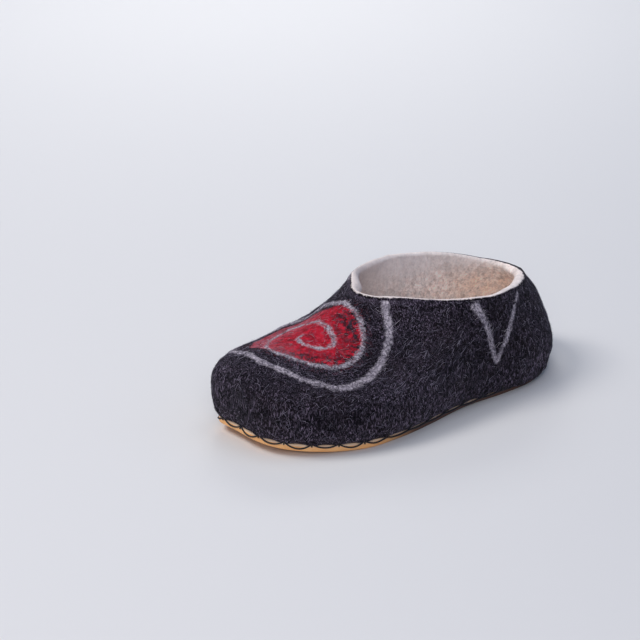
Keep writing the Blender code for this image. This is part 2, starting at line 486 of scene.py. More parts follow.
@dataclass
class Last:
    """The outer form of the felt, with the part's own driving sizes."""

    length: float = 0.260
    ball_width: float = 0.108
    throat_height: float = 0.082
    sole_thickness: float = 0.0047
    toe_spring: float = 0.0070
    wall: float = 0.0060
    gap: float = 0.0003
    undercut: float = 0.0063
    spring_start: float = 0.72
    waist_lift: float = 0.0010
    waist_centre: float = 0.40
    waist_reach: float = 0.13
    lip_start: float = 0.72
    short_reach: float = 0.03
    toe_margin: float = 0.0012
    heel_margin: float = -0.0006
    margin_from: float = -0.068
    margin_to: float = -0.042
    heel_fill: float = 0.0022
    heel_fill_up: float = 1.68
    heel_fill_reach: float = 0.24
    heel_fill_start: float = 0.3
    heel_fill_end: float = 2.15
    heel_fill_fade: float = 0.4
    heel_drop: float = 0.0014
    heel_drop_from: float = 1.5
    heel_drop_span: float = 0.5
    heel_round: float = 5.9
    heel_span: float = 1.7
    low_hand: float = 0.55
    low_rise: float = 0.001
    level_until: float = 1.2
    low_bias: float = 1.4
    fine_stations: int = 1200
    columns: int = 480
    low_rows: int = 22
    high_rows: int = 86
    rounds: Array = field(init=False)
    bulge: Array = field(init=False)
    rim: Array = field(init=False)
    outward: Array = field(init=False)
    feather: Array = field(init=False)
    lines: Meridian = field(init=False)

    def __post_init__(self) -> None:
        """Reads the table at stations that lie evenly along each side of the shoe."""
        sizes = (self.length, self.ball_width, self.throat_height)
        scale = np.array([*sizes, *sizes, self.throat_height, self.length, 100, self.throat_height])
        rows = np.array(list(MERIDIANS.values()), float) * scale / 100
        fine = np.linspace(0, STEPS_ROUND, self.fine_stations, endpoint=False)
        outline = closed_spline(rows, fine)[:, :2]
        self.rounds = self.even_stations(fine, outline)
        middle = (outline[:, 1].max() + outline[:, 1].min()) / 2
        centre = (outline[:, 0].max() + outline[:, 0].min()) / 2
        lines = Meridian(*closed_spline(rows, self.rounds).T)
        self.lines = lines
        self.bulge = np.stack([lines.across - middle, centre - lines.along, lines.height], 1)
        self.bulge[:, 2] += self.toe_lift(self.bulge[:, 1])
        self.rim = np.stack(
            [lines.rim_across - middle, centre - lines.rim_along, lines.rim_height - lines.lip], 1
        )
        ahead = np.roll(self.bulge, -1, 0) - np.roll(self.bulge, 1, 0)
        self.outward = unit(np.stack([-ahead[:, 1], ahead[:, 0], 0 * ahead[:, 0]], 1))
        self.outward *= np.sign((self.outward * self.bulge).sum())
        self.feather = self.bulge - self.undercut * self.outward
        self.feather[:, 2] = self.sole_thickness + self.gap + self.toe_lift(self.feather[:, 1])

    def even_stations(self, fine: Array, outline: Array) -> Array:
        """Places round the shoe at even distances, with the toe's tip first and the heel's back halfway.

        Args:
            fine: Closely set places round the shoe.
            outline: The widest line at those places, as rows of two.

        Returns:
            A place for each column.
        """
        ahead = np.roll(outline, -1, 0) - outline
        run = np.concatenate([[0], np.cumsum(np.linalg.norm(ahead, axis=1))])
        fine = np.append(fine, STEPS_ROUND)
        half = len(fine) // 2
        outer = np.linspace(0, run[half], self.columns // 2, endpoint=False)
        inner = np.linspace(run[half], run[-1], self.columns // 2, endpoint=False)
        return np.interp(np.concatenate([outer, inner]), run, fine)

    def toe_lift(self, y: Array) -> Array:
        """How far toe spring has lifted the underside: its size times the square of the way to the toe.

        Args:
            y: Places along the shoe.

        Returns:
            The lift at each place.
        """
        along = 0.5 - y / self.length
        reach = np.maximum(along - self.spring_start, 0) / (1 - self.spring_start)
        return self.toe_spring * reach**2

    def arch_lift(self, y: Array) -> Array:
        """The low arch between heel and ball: its size times a squared cosine over its reach.

        Args:
            y: Places along the shoe.

        Returns:
            The lift at each place.
        """
        along = 0.5 - y / self.length
        reach = np.clip((along - self.waist_centre) / self.waist_reach, -1, 1)
        return self.waist_lift * np.cos(reach * np.pi / 2) ** 2

    def sole_margin(self, y: Array) -> Array:
        """How far the leather stands out past the felt's seam: at the forefoot only, and less behind."""
        share = ease((y - self.margin_from) / (self.margin_to - self.margin_from))
        return self.toe_margin * (1 - share) + self.heel_margin * share

    def low_steps(self) -> Array:
        """The rows below the widest line, closer together near the sole."""
        return np.linspace(0, 1, self.low_rows) ** self.low_bias

    def ups(self) -> Array:
        """The value of "up" for each row of the outer skin."""
        return np.concatenate([self.low_steps()[:-1], np.linspace(1, 2, self.high_rows)])

    def outer_skin(self) -> Array:
        """Rows of points from the sole's edge up to the collar.

        Below the widest line each meridian is a cubic that leaves the sole's edge outwards and meets
        the bulge upright. Above it, the cubic leaves upright and meets the collar at the row's slope,
        and an eased share of the row's lip is added towards the collar.

        Returns:
            An array of (rows, columns, 3).
        """
        fall = self.bulge[:, 2:] - self.feather[:, 2:]
        low = bezier(
            (
                self.feather,
                self.feather + self.low_hand * self.undercut * self.outward + self.low_rise * UP,
                self.bulge - self.low_hand * fall * UP,
                self.bulge,
            ),
            self.low_steps(),
        )
        across = (self.bulge - self.rim) * np.array([1, 1, 0])
        reach = np.linalg.norm(across, axis=1, keepdims=True)
        away = unit(across / np.maximum(reach, self.short_reach) + self.outward)
        slope = np.radians(self.lines.slope)[:, None]
        steps = np.linspace(0, 1, self.high_rows)
        high = bezier(
            (
                self.bulge,
                self.bulge + self.lines.rise[:, None] * UP,
                self.rim + self.lines.lead[:, None] * (np.cos(slope) * away - np.sin(slope) * UP),
                self.rim,
            ),
            steps,
        )
        high[:, :, 2] += ease((steps - self.lip_start) / (1 - self.lip_start))[:, None] * self.lines.lip
        return self.full_heel(np.concatenate([low[:-1], high]))

    def full_heel(self, skin: Array) -> Array:
        """The skin, fuller below the collar at the heel by a bell curve, with the collar a little lower.

        Args:
            skin: The plain outer skin.

        Returns:
            The skin with its full heel.
        """
        ups = self.ups()[:, None, None]
        heel = ease(self.heel_span - np.abs(self.rounds - self.heel_round))[:, None]
        bell = np.exp(-(((ups - self.heel_fill_up) / self.heel_fill_reach) ** 2))
        bell = bell * ease((ups - 1) / self.heel_fill_start)
        fade = ease((self.heel_fill_end - ups) / self.heel_fill_fade)
        skin = skin + self.heel_fill * heel * bell * fade * self.outward
        drop = ease((ups - self.heel_drop_from) / self.heel_drop_span)
        return skin - self.heel_drop * heel * drop * UP

    def facing(self, skin: Array) -> Array:
        """The outward direction at each point: the cross product of the ways round and up."""
        normals = unit(np.cross(np.roll(skin, -1, 1) - np.roll(skin, 1, 1), np.gradient(skin, axis=0)))
        return normals * np.sign((normals * self.outward).sum())

    def inner_skin(self, outer: Array) -> Array:
        """The felt's inside: the outer skin moved in by the wall, level where it meets the sole."""
        turn = ease(self.ups() / self.level_until)[:, None, None]
        return outer - self.wall * unit(turn * self.facing(outer) + (1 - turn) * self.outward)


class Skin:
    """One surface of the felt as a grid that can be read at any place."""

    def __init__(self, last: Last, points: Array, step: int = 1) -> None:
        """Keeps the grid, of every step-th row, its outward directions and its rows' and columns' places."""
        self.points = points
        self.normals = last.facing(points)
        self.rounds = np.append(last.rounds, STEPS_ROUND)
        self.ups = last.ups()[::step]

    def cell(self, rounds: Array, ups: Array) -> tuple[Array, Array]:
        """Row and column numbers, with fractions, of places on the felt."""
        column = np.interp(np.mod(rounds, STEPS_ROUND), self.rounds, np.arange(len(self.rounds)))
        return np.interp(ups, self.ups, np.arange(len(self.ups))), column

    def read(self, values: Array, row: Array, column: Array) -> Array:
        """Values of the grid between its points, weighted by how near each of the four corners is.

        Args:
            values: One value, or one row, for each point of the grid.
            row: Row numbers with fractions.
            column: Column numbers with fractions.

        Returns:
            A value, or a row, for each place.
        """
        rows, columns = values.shape[:2]
        low = np.clip(row.astype(int), 0, rows - 2)
        left = np.floor(column).astype(int)
        extra = (1,) * (values.ndim - 2)
        r = (np.clip(row, 0, rows - 1) - low).reshape(-1, *extra)
        c = (column - left).reshape(-1, *extra)
        left, right = left % columns, (left + 1) % columns
        bottom = values[low, left] * (1 - c) + values[low, right] * c
        top = values[low + 1, left] * (1 - c) + values[low + 1, right] * c
        return bottom * (1 - r) + top * r

    def curve(self, places: Sequence[Stroke | Place], count: int) -> tuple[Array, Array]:
        """A smooth line on the felt through a table of places.

        Args:
            places: Rows of round, up and whatever else they hold.
            count: How many samples to take.

        Returns:
            The samples in space, and the table's columns read along them.
        """
        path = open_spline(np.array(places, float), count)
        return self.read(self.points, *self.cell(path[:, 0], path[:, 1])), path


@dataclass
class Ornament:
    """The wool pattern that is felted into the shell: a red drop with pale spiral strokes, and two Vs."""

    samples_per_stroke: int = 260
    wobble_mm: float = 0.5
    wobble_wave: float = 0.012

    def fields(self, skin: Skin) -> dict[str, Array]:
        """Signed distances in millimetres on the outer skin's grid, below zero inside the wool.

        The pale field is the least, over all strokes, of the distance to the stroke's middle line less
        half its width there. The red field is the distance to the drop's outline, taken as negative
        inside it. A little unevenness is added to both.

        Args:
            skin: The outer skin.

        Returns:
            The fields, by name.
        """
        rows, columns = skin.points.shape[:2]
        flat = skin.points.reshape(-1, 3)
        pale = np.full(len(flat), FAR_MM)
        for stroke in STROKES:
            curve, path = skin.curve(stroke, self.samples_per_stroke)
            away, which = nearest(flat, curve)
            pale = np.minimum(pale, away / MM - path[which, 2] / 2)
        outline, _ = skin.curve([*RED_DROP, RED_DROP[0]], self.samples_per_stroke * 2)
        path = open_spline(np.array([*RED_DROP, RED_DROP[0]], float), self.samples_per_stroke)
        away, _ = nearest(flat, outline)
        around = skin.rounds[:-1]
        turned = np.where(around > STEPS_ROUND / 2, around - STEPS_ROUND, around)
        places = np.stack(np.meshgrid(turned, skin.ups, indexing="xy"), -1).reshape(-1, 2)
        red = np.where(inside(places, path), -away, away) / MM
        uneven = self.wobble_mm * lumps(flat, self.wobble_wave, 5)
        return {
            "pale_mm": (pale + uneven).reshape(rows, columns),
            "red_mm": (red + uneven).reshape(rows, columns),
        }


class Span(NamedTuple):
    """Where something starts, and where it is in full."""

    start: float
    full: float


class FibreLayer(NamedTuple):
    """One layer of curly fibres, with the inputs of the fibre group in their order."""

    per_metre: float
    upright: float
    thinness: float
    coverage: float


class Edge(NamedTuple):
    """How far a layer's edge frays, and how softly it ends, in millimetres."""

    fuzz: float
    softness: float


class Mottle(NamedTuple):
    """Uneven shade: the features to the metre of its two scales, and its depth."""

    large: float
    small: float
    depth: float


class Graph:
    """A node tree with short ways to add nodes and join them."""

    def __init__(self, tree: bpy.types.NodeTree) -> None:
        """Takes the tree to fill."""
        self.tree = tree

    def node(self, kind: str, inputs: dict[str | int, Any] | None = None, **settings: Any) -> bpy.types.Node:
        """Adds a node.

        Args:
            kind: Its type, without the words ShaderNode in front.
            inputs: A socket to join or a value to set, by the input's name or number.
            settings: The node's own properties.

        Returns:
            The new node.
        """
        added = self.tree.nodes.new(f"ShaderNode{kind}")
        for title, value in settings.items():
            setattr(added, title, value)
        for title, value in (inputs or {}).items():
            self.feed(added.inputs[title], value)
        return added

    def feed(self, socket: bpy.types.NodeSocket, value: Any) -> None:
        """Joins a socket to an input, or sets the input's value.

        Args:
            socket: The input.
            value: A socket, a number, a vector or a colour.
        """
        if isinstance(value, bpy.types.NodeSocket):
            self.tree.links.new(value, socket)
        elif isinstance(value, tuple) and len(value) == 3 and socket.type == "RGBA":
            socket.default_value = (*value, 1.0)
        else:
            socket.default_value = value

    def math(self, operation: str, *values: Any, clamp: bool = False) -> Socket:
        """The result of a Math node."""
        inputs = dict(enumerate(values))
        return self.node("Math", inputs, operation=operation, use_clamp=clamp).outputs[0]

    def times(self, first: Any, second: Any, clamp: bool = False) -> Socket:
        """Two values multiplied."""
        return self.math("MULTIPLY", first, second, clamp=clamp)

    def times_plus(self, first: Any, second: Any, third: Any, clamp: bool = False) -> Socket:
        """Two values multiplied, and a third added."""
        return self.math("MULTIPLY_ADD", first, second, third, clamp=clamp)

    def mix(self, factor: Any, first: Any, second: Any) -> Socket:
        """A colour between two, by a factor of 0 to 1."""
        inputs = {0: factor, 6: first, 7: second}
        return self.node("Mix", inputs, data_type="RGBA").outputs[2]

    def span(self, value: Any, low: float, high: float) -> Socket:
        """0 where the value is at low, 1 where it is at high, held between them and eased."""
        inputs = {"Value": value, "From Min": low, "From Max": high}
        return self.node("MapRange", inputs, interpolation_type="SMOOTHSTEP").outputs["Result"]

    def noise(self, place: Any, scale: float, detail: float = 2.0, distortion: float = 0.0) -> Socket:
        """Noise of about 0 to 1, with scale features to the metre."""
        inputs = {"Vector": place, "Scale": scale, "Detail": detail, "Distortion": distortion}
        return self.node("TexNoise", inputs).outputs["Fac"]

    def field(self, title: str) -> Socket:
        """A number kept for each point of the piece."""
        return self.node("Attribute", attribute_name=title).outputs["Fac"]

    def place(self) -> Socket:
        """Where the shaded point is, in the object's own metres."""
        return self.node("TexCoord").outputs["Object"]

    def scaled(self, place: Any, by: Any) -> Socket:
        """A place with each of its axes multiplied by a number of its own."""
        return self.node("VectorMath", {0: place, 1: by}, operation="MULTIPLY").outputs[0]

    def toned(self, colour: Any, shade: Any) -> Socket:
        """A colour made lighter or darker by a shade."""
        return self.node("VectorMath", {0: colour, "Scale": shade}, operation="SCALE").outputs["Vector"]

    def near(self, place: Any, spot: Point, reach: Span) -> Socket:
        """1 about a spot and 0 far from it, by the distance to it."""
        away = self.node("VectorMath", {0: place, 1: spot}, operation="DISTANCE")
        return self.span(away.outputs["Value"], *reach)

    def group(self, tree: bpy.types.NodeTree, inputs: dict[str, Any]) -> bpy.types.Node:
        """Adds a group with its own values.

        Args:
            tree: The group.
            inputs: A socket to join or a value to set, by the input's name.

        Returns:
            The group's node.
        """
        added = self.tree.nodes.new("ShaderNodeGroup")
        added.node_tree = tree
        for title, value in inputs.items():
            self.feed(added.inputs[title], value)
        return added


def new_group(
    name: str, inputs: dict[str, tuple[str, Any]], outputs: dict[str, str]
) -> tuple[Graph, bpy.types.Node, bpy.types.Node]:
    """An empty shader node group with named sockets.

    Args:
        name: The group's name.
        inputs: For each input, its socket type and its value if nothing is joined.
        outputs: For each output, its socket type.

    Returns:
        The group's graph, its input node and its output node.
    """
    tree = bpy.data.node_groups.new(name, "ShaderNodeTree")
    for title, (kind, value) in inputs.items():
        socket = tree.interface.new_socket(title, in_out="INPUT", socket_type=kind)
        if value is not None:
            socket.default_value = value
    for title, kind in outputs.items():
        tree.interface.new_socket(title, in_out="OUTPUT", socket_type=kind)
    return Graph(tree), tree.nodes.new("NodeGroupInput"), tree.nodes.new("NodeGroupOutput")


class Groups:
    """The shader groups that more than one finish uses, each built once."""

    def __init__(self) -> None:
        """Builds them."""
        self.fibres = self.build_fibres()
        self.mottle = self.build_mottle()
        self.stroke_edge = self.build_stroke_edge()

    def shade(self, graph: Graph, place: Any, mottle: Mottle) -> Socket:
        """Uneven shade about the value 1, for a finish's own graph."""
        values = {"Place": place, "Large": mottle.large, "Small": mottle.small, "Depth": mottle.depth}
        return graph.group(self.mottle, values).outputs["Shade"]

    def build_fibres(self) -> bpy.types.NodeTree:
        """Curly fibres: the thin bands where a wandering noise passes its own middle value.

        Mask is 1 on a fibre and 0 beside it. A second, coarser noise breaks the fibres into lengths.

        Returns:
            The group.
        """
        graph, start, end = new_group(
            "wool_fibres",
            {
                "Place": ("NodeSocketVector", None),
                "Per metre": ("NodeSocketFloat", 700.0),
                "Upright": ("NodeSocketFloat", 0.55),
                "Thinness": ("NodeSocketFloat", 0.05),
                "Coverage": ("NodeSocketFloat", 0.5),
            },
            {"Mask": "NodeSocketFloat"},
        )
        stretch = graph.node("CombineXYZ", {0: 1.0, 1: 1.0, 2: start.outputs["Upright"]}).outputs[0]
        drawn = graph.scaled(start.outputs["Place"], stretch)
        noise = {"Vector": drawn, "Scale": start.outputs["Per metre"], "Detail": 1.5, "Distortion": 0.6}
        wandering = graph.node("TexNoise", noise).outputs["Fac"]
        away = graph.math("ABSOLUTE", graph.math("SUBTRACT", wandering, 0.5))
        line = graph.math("SUBTRACT", 1.0, graph.math("DIVIDE", away, start.outputs["Thinness"]), clamp=True)
        coarse = graph.times(start.outputs["Per metre"], 0.37)
        breaks = graph.node("TexNoise", {"Vector": start.outputs["Place"], "Scale": coarse, "Detail": 1.0})
        floor = graph.math("SUBTRACT", 1.0, start.outputs["Coverage"])
        kept = graph.math("SUBTRACT", breaks.outputs["Fac"], graph.times_plus(floor, 0.4, 0.3))
        kept = graph.times(kept, 8.0, clamp=True)
        graph.feed(end.inputs["Mask"], graph.times(line, kept))
        return graph.tree

    def build_mottle(self) -> bpy.types.NodeTree:
        """Uneven shade: noise at a large and a small scale, added about the value 1.

        Returns:
            The group.
        """
        graph, start, end = new_group(
            "mottle",
            {
                "Place": ("NodeSocketVector", None),
                "Large": ("NodeSocketFloat", 60.0),
                "Small": ("NodeSocketFloat", 600.0),
                "Depth": ("NodeSocketFloat", 0.5),
            },
            {"Shade": "NodeSocketFloat"},
        )
        parts = []
        for title in ("Large", "Small"):
            inputs = {"Vector": start.outputs["Place"], "Scale": start.outputs[title], "Detail": 3.0}
            parts.append(graph.node("TexNoise", inputs).outputs["Fac"])
        both = graph.math("SUBTRACT", graph.math("ADD", parts[0], parts[1]), 1.0)
        shade = graph.times_plus(both, graph.times(start.outputs["Depth"], 2.0), 1.0)
        graph.feed(end.inputs["Shade"], graph.math("MAXIMUM", shade, 0.1))
        return graph.tree

    def build_stroke_edge(self) -> bpy.types.NodeTree:
        """A wool stroke's fuzzy edge: its signed distance plus noise at two scales, softened.

        Returns:
            The group.
        """
        graph, start, end = new_group(
            "stroke_edge",
            {
                "Place": ("NodeSocketVector", None),
                "Distance": ("NodeSocketFloat", 0.0),
                "Fuzz": ("NodeSocketFloat", 1.6),
                "Softness": ("NodeSocketFloat", 0.9),
            },
            {"Mask": "NodeSocketFloat"},
        )
        fine = graph.noise(start.outputs["Place"], 900.0, 2.0)
        broad = graph.noise(start.outputs["Place"], 260.0, 1.0)
        rough = graph.math("SUBTRACT", graph.times_plus(broad, 0.8, fine), 0.9)
        moved = graph.times_plus(rough, start.outputs["Fuzz"], start.outputs["Distance"])
        within = graph.math("DIVIDE", moved, start.outputs["Softness"])
        graph.feed(end.inputs["Mask"], graph.math("SUBTRACT", 0.5, within, clamp=True))
        return graph.tree


def new_material(name: str) -> tuple[bpy.types.Material, Graph, bpy.types.Node]:
    """A new material.

    Args:
        name: Its name.

    Returns:
        The material, its graph and its Principled BSDF.
    """
    material = bpy.data.materials.new(name)
    material.use_nodes = True
    return material, Graph(material.node_tree), material.node_tree.nodes["Principled BSDF"]


class FeltInputs(NamedTuple):
    """What the shell's colours are worked out from: the shaded point, its axes and the fibres' masks."""

    place: Socket
    x: Socket
    y: Socket
    z: Socket
    fine: Socket
    curly: Socket
    soft: Socket


@dataclass(frozen=True)
class ShellFelt:
    """Heathered charcoal felt with red and pale wool felted in, and cream felt as its lining."""

    groups: Groups
    charcoal: Colour = (0.0030, 0.0022, 0.0044)
    charcoal_warm: Colour = (0.0048, 0.0028, 0.0042)
    heather: Colour = (0.250, 0.198, 0.270)
    pale: Colour = (0.56, 0.50, 0.54)
    pale_shade: Colour = (0.160, 0.140, 0.168)
    red: Colour = (0.56, 0.016, 0.036)
    red_shade: Colour = (0.25, 0.009, 0.020)
    dusty: Colour = (0.42, 0.21, 0.25)
    soot: Colour = (0.019, 0.012, 0.017)
    cream: Colour = (0.90, 0.785, 0.70)
    cream_shade: Colour = (0.71, 0.575, 0.51)
    light_cream_and_painted_light: Colour = (0.93, 0.835, 0.77)
    toe_painted_shade: Colour = (0.42, 0.31, 0.275)
    tan: Colour = (0.95, 0.74, 0.61)
    fine_layer: FibreLayer = FibreLayer(800.0, 0.42, 0.060, 0.58)
    curly_layer: FibreLayer = FibreLayer(1250.0, 0.75, 0.08, 0.5)
    soft_layer: FibreLayer = FibreLayer(330.0, 0.6, 0.03, 0.45)
    red_edge: Edge = Edge(1.8, 1.4)
    pale_edge: Edge = Edge(3.2, 1.7)
    lining_edge: Edge = Edge(1.3, 0.6)
    charcoal_mottle: Mottle = Mottle(90.0, 1300.0, 0.9)
    cream_mottle: Mottle = Mottle(190.0, 700.0, 0.60)
    cut_depth_mm: float = 0.7
    heel_depth_mm: float = 2.9
    heel_y: Span = Span(0.035, 0.095)
    heel_x: Span = Span(0.020, -0.004)
    low_z: Span = Span(0.026, 0.014)
    throat_y: Span = Span(0.02, -0.03)
    rim_band_mm: Span = Span(4.5, 0.5)
    stray_band_mm: Span = Span(9.0, 1.0)
    sooty_band_mm: Span = Span(-17.0, 0.0)
    sooty_x: Span = Span(-0.018, 0.006)
    dusty_x: Span = Span(-0.018, -0.036)
    dusty_y: Span = Span(-0.080, -0.104)
    cloud_place: Point = (0.0009, -0.0478, 0.0674)
    cloud_reach: Span = Span(0.018, 0.004)
    stain_place: Point = (-0.031, 0.102, 0.047)
    stain_reach: Span = Span(0.020, 0.004)
    stain_y: Span = Span(0.030, 0.085)
    stain_z: Span = Span(0.062, 0.045)
    toe_shade_y: Span = Span(0.055, 0.0)
    painted_light_z: Span = Span(0.050, 0.074)
    nap_depth: float = 0.00035
    nap_strength: float = 0.55
    roughness: float = 0.95
    specular: float = 0.06
    sheen: float = 0.03
    sheen_roughness: float = 0.5

    def material(self) -> bpy.types.Material:
        """Builds the finish from the shell's own fields.

        Charcoal lies at the bottom, then stray red fibres, the red drop, the pale strokes and, across
        the collar's edge, the lining.

        Returns:
            The material.
        """
        material, graph, shader = new_material("shell_felt")
        place = graph.place()
        fine = self.fibres(graph, place, self.fine_layer)
        curly = self.fibres(graph, place, self.curly_layer)
        soft = self.fibres(graph, place, self.soft_layer)
        felt = FeltInputs(place, *graph.node("SeparateXYZ", {0: place}).outputs, fine, curly, soft)
        colour = self.charcoal_colour(graph, felt)
        stray = graph.times(graph.span(graph.field("red_mm"), *self.stray_band_mm), curly)
        colour = graph.mix(graph.times(stray, 0.55), colour, self.red_shade)
        red = self.edge(graph, place, graph.field("red_mm"), self.red_edge)
        colour = graph.mix(red, colour, self.red_colour(graph, felt))
        pale = self.edge(graph, place, graph.field("pale_mm"), self.pale_edge)
        pale = graph.times(pale, graph.span(graph.noise(place, 420.0, 2.0), 0.22, 0.50))
        colour = graph.mix(pale, colour, self.pale_colour(graph, felt))
        back = graph.span(felt.y, *self.heel_y)
        back = graph.times(back, graph.span(felt.x, *self.heel_x))
        cut = graph.times_plus(back, self.heel_depth_mm - self.cut_depth_mm, self.cut_depth_mm)
        depth = graph.math("SUBTRACT", cut, graph.field("depth_mm"))
        lining = self.edge(graph, place, depth, self.lining_edge)
        colour = graph.mix(lining, colour, self.cream_colour(graph, felt))
        graph.feed(shader.inputs["Base Color"], colour)
        self.nap(graph, place, shader, (fine, curly, soft))
        return material

    def fibres(self, graph: Graph, place: Any, layer: FibreLayer) -> Socket:
        """The mask of one layer of curly fibres."""
        values = dict(zip(("Per metre", "Upright", "Thinness", "Coverage"), layer))
        return graph.group(self.groups.fibres, {"Place": place, **values}).outputs["Mask"]

    def edge(self, graph: Graph, place: Any, distance: Any, edge: Edge) -> Socket:
        """The mask of a layer with a fuzzy edge, from its signed distance."""
        values = {"Place": place, "Distance": distance, "Fuzz": edge.fuzz, "Softness": edge.softness}
        return graph.group(self.groups.stroke_edge, values).outputs["Mask"]

    def charcoal_colour(self, graph: Graph, felt: FeltInputs) -> Socket:
        """Near black wool with grey fibres through it, a little warmer here and there.

        Args:
            graph: The material's graph.
            felt: What the colour is worked out from.

        Returns:
            The colour. Its grey is the sum of all fibres, specks and upright streaks, each times its
            share, and is stronger in patches and near the sole.
        """
        warm = graph.span(graph.noise(felt.place, 45.0, 3.0), 0.42, 0.68)
        base = graph.mix(warm, self.charcoal, self.charcoal_warm)
        base = graph.toned(base, self.groups.shade(graph, felt.place, self.charcoal_mottle))
        specks = graph.span(graph.noise(graph.scaled(felt.place, (1.0, 1.0, 0.45)), 1700.0, 1.0), 0.60, 0.72)
        streaks = graph.noise(graph.scaled(felt.place, (1.0, 1.0, 0.20)), 1300.0, 1.0, 0.3)
        streaks = graph.span(streaks, 0.57, 0.68)
        grey = 0.0
        fibres = ((felt.curly, 0.13), (felt.fine, 0.36), (felt.soft, 0.06))
        for mask, share in (*fibres, (specks, 0.50), (streaks, 0.65)):
            grey = graph.times_plus(mask, share, grey)
        strength = graph.span(graph.noise(felt.place, 34.0, 3.0), 0.30, 0.75)
        low = graph.span(felt.z, *self.low_z)
        strength = graph.times_plus(low, 0.35, strength)
        grey = graph.times(grey, graph.times_plus(strength, 0.75, 0.40), clamp=True)
        rim = graph.span(graph.field("rim_mm"), *self.rim_band_mm)
        rim = graph.times(rim, graph.span(felt.y, *self.throat_y))
        grey = graph.times_plus(rim, 0.12, grey, clamp=True)
        return graph.mix(grey, base, self.heather)

    def red_colour(self, graph: Graph, felt: FeltInputs) -> Socket:
        """Red wool, brightest in the middle of the spiral, with charcoal fibres towards its edge.

        Args:
            graph: The material's graph.
            felt: What the colour is worked out from.

        Returns:
            The colour, sooty on the outer side and in one cloud, dusty at the tip and on the inner side.
        """
        uneven = graph.span(graph.noise(felt.place, 240.0, 4.0), 0.30, 0.75)
        base = graph.mix(uneven, self.red, self.red_shade)
        streaks = graph.math("ADD", graph.times(felt.fine, 1.3), felt.curly)
        patches = graph.span(graph.noise(felt.place, 300.0, 4.0, 0.8), 0.40, 0.62)
        edge = graph.span(graph.field("red_mm"), *self.sooty_band_mm)
        dark = graph.times(edge, graph.times_plus(patches, 1.25, streaks), clamp=True)
        outer = graph.times_plus(graph.span(felt.x, *self.sooty_x), 0.85, 0.15)
        mixed = graph.times_plus(streaks, 0.45, graph.times(patches, 0.45))
        cloud = graph.times(graph.near(felt.place, self.cloud_place, self.cloud_reach), mixed)
        dark = graph.times_plus(dark, outer, cloud, clamp=True)
        base = graph.mix(dark, base, self.soot)
        inner = graph.span(felt.x, *self.dusty_x)
        tip = graph.math("ADD", graph.span(felt.y, *self.dusty_y), inner, clamp=True)
        base = graph.mix(graph.times(tip, 0.40), base, self.dusty)
        paler = graph.times_plus(tip, 0.28, 0.42)
        return graph.mix(graph.times(felt.curly, paler), base, self.heather)

    def pale_colour(self, graph: Graph, felt: FeltInputs) -> Socket:
        """Pale grey wool, with the charcoal under it showing between the fibres.

        Args:
            graph: The material's graph.
            felt: What the colour is worked out from.

        Returns:
            The colour.
        """
        thin = graph.span(graph.noise(felt.place, 760.0, 3.0), 0.36, 0.66)
        base = graph.mix(thin, self.pale_shade, self.pale)
        return graph.mix(graph.times(felt.curly, 0.45), base, self.heather)

    def cream_colour(self, graph: Graph, felt: FeltInputs) -> Socket:
        """Undyed wool: cream with lighter fibres and tan ones, tanner in patches towards the heel.

        Args:
            graph: The material's graph.
            felt: What the colour is worked out from.

        Returns:
            The colour, stained by the heel, with painted shade inside the toe and painted light at the
            collar.
        """
        broad = graph.span(graph.noise(felt.place, 300.0, 4.0), 0.38, 0.58)
        base = graph.mix(broad, self.cream_shade, self.light_cream_and_painted_light)
        base = graph.mix(graph.span(graph.noise(felt.place, 1100.0, 2.0), 0.45, 0.75), base, self.cream)
        patch = graph.span(graph.noise(felt.place, 48.0, 3.0), 0.38, 0.66)
        back = graph.span(felt.y, *self.stain_y)
        below = graph.span(felt.z, *self.stain_z)
        spot = graph.times(graph.near(felt.place, self.stain_place, self.stain_reach), 0.8)
        stain = graph.times_plus(graph.times(back, below), 0.34, 0.06)
        stain = graph.math("ADD", stain, spot)
        stain = graph.times(stain, graph.math("ADD", patch, 0.25), clamp=True)
        base = graph.mix(stain, base, self.tan)
        base = graph.mix(graph.times(felt.curly, 0.20), base, self.tan)
        base = graph.toned(base, self.groups.shade(graph, felt.place, self.cream_mottle))
        # Painted shade: the lining darkens towards the toe, where less light reaches inside.
        front = graph.times(graph.span(felt.y, *self.toe_shade_y), 0.5)
        base = graph.mix(front, base, self.toe_painted_shade)
        # Painted light: the lining is lighter towards the collar, where more light falls in.
        high = graph.times(graph.span(felt.z, *self.painted_light_z), 0.65)
        base = graph.mix(high, base, self.light_cream_and_painted_light)
        return graph.mix(graph.times(felt.fine, 0.30), base, self.light_cream_and_painted_light)

    def nap(self, graph: Graph, place: Any, shader: bpy.types.Node, layers: Sequence[Any]) -> None:
        """Gives the surface its fibrous relief and its dull, slightly bright-edged gloss.

        Args:
            graph: The material's graph.
            place: The shaded point.
            shader: The Principled BSDF.
            layers: The masks of the fibres that stand up.
        """
        height = graph.times(graph.noise(place, 420.0, 4.0), 1.6)
        for layer in layers:
            height = graph.math("ADD", height, layer)
        relief = {"Height": height, "Strength": self.nap_strength, "Distance": self.nap_depth}
        graph.feed(shader.inputs["Normal"], graph.node("Bump", relief).outputs["Normal"])
        shader.inputs["Roughness"].default_value = self.roughness
        shader.inputs["Specular IOR Level"].default_value = self.specular
        shader.inputs["Sheen Weight"].default_value = self.sheen
        shader.inputs["Sheen Roughness"].default_value = self.sheen_roughness


@dataclass(frozen=True)
class LooseWool:
    """Single wool fibres, each with the colour that it carries."""

    roughness: float = 0.8
    specular: float = 0.3

    def material(self) -> bpy.types.Material:
        """Builds the finish, which reads each fibre's own colour."""
        material, graph, shader = new_material("loose_wool")
        colour = graph.node("Attribute", attribute_name="wool").outputs["Color"]
        graph.feed(shader.inputs["Base Color"], colour)
        shader.inputs["Roughness"].default_value = self.roughness
        shader.inputs["Specular IOR Level"].default_value = self.specular
        return material


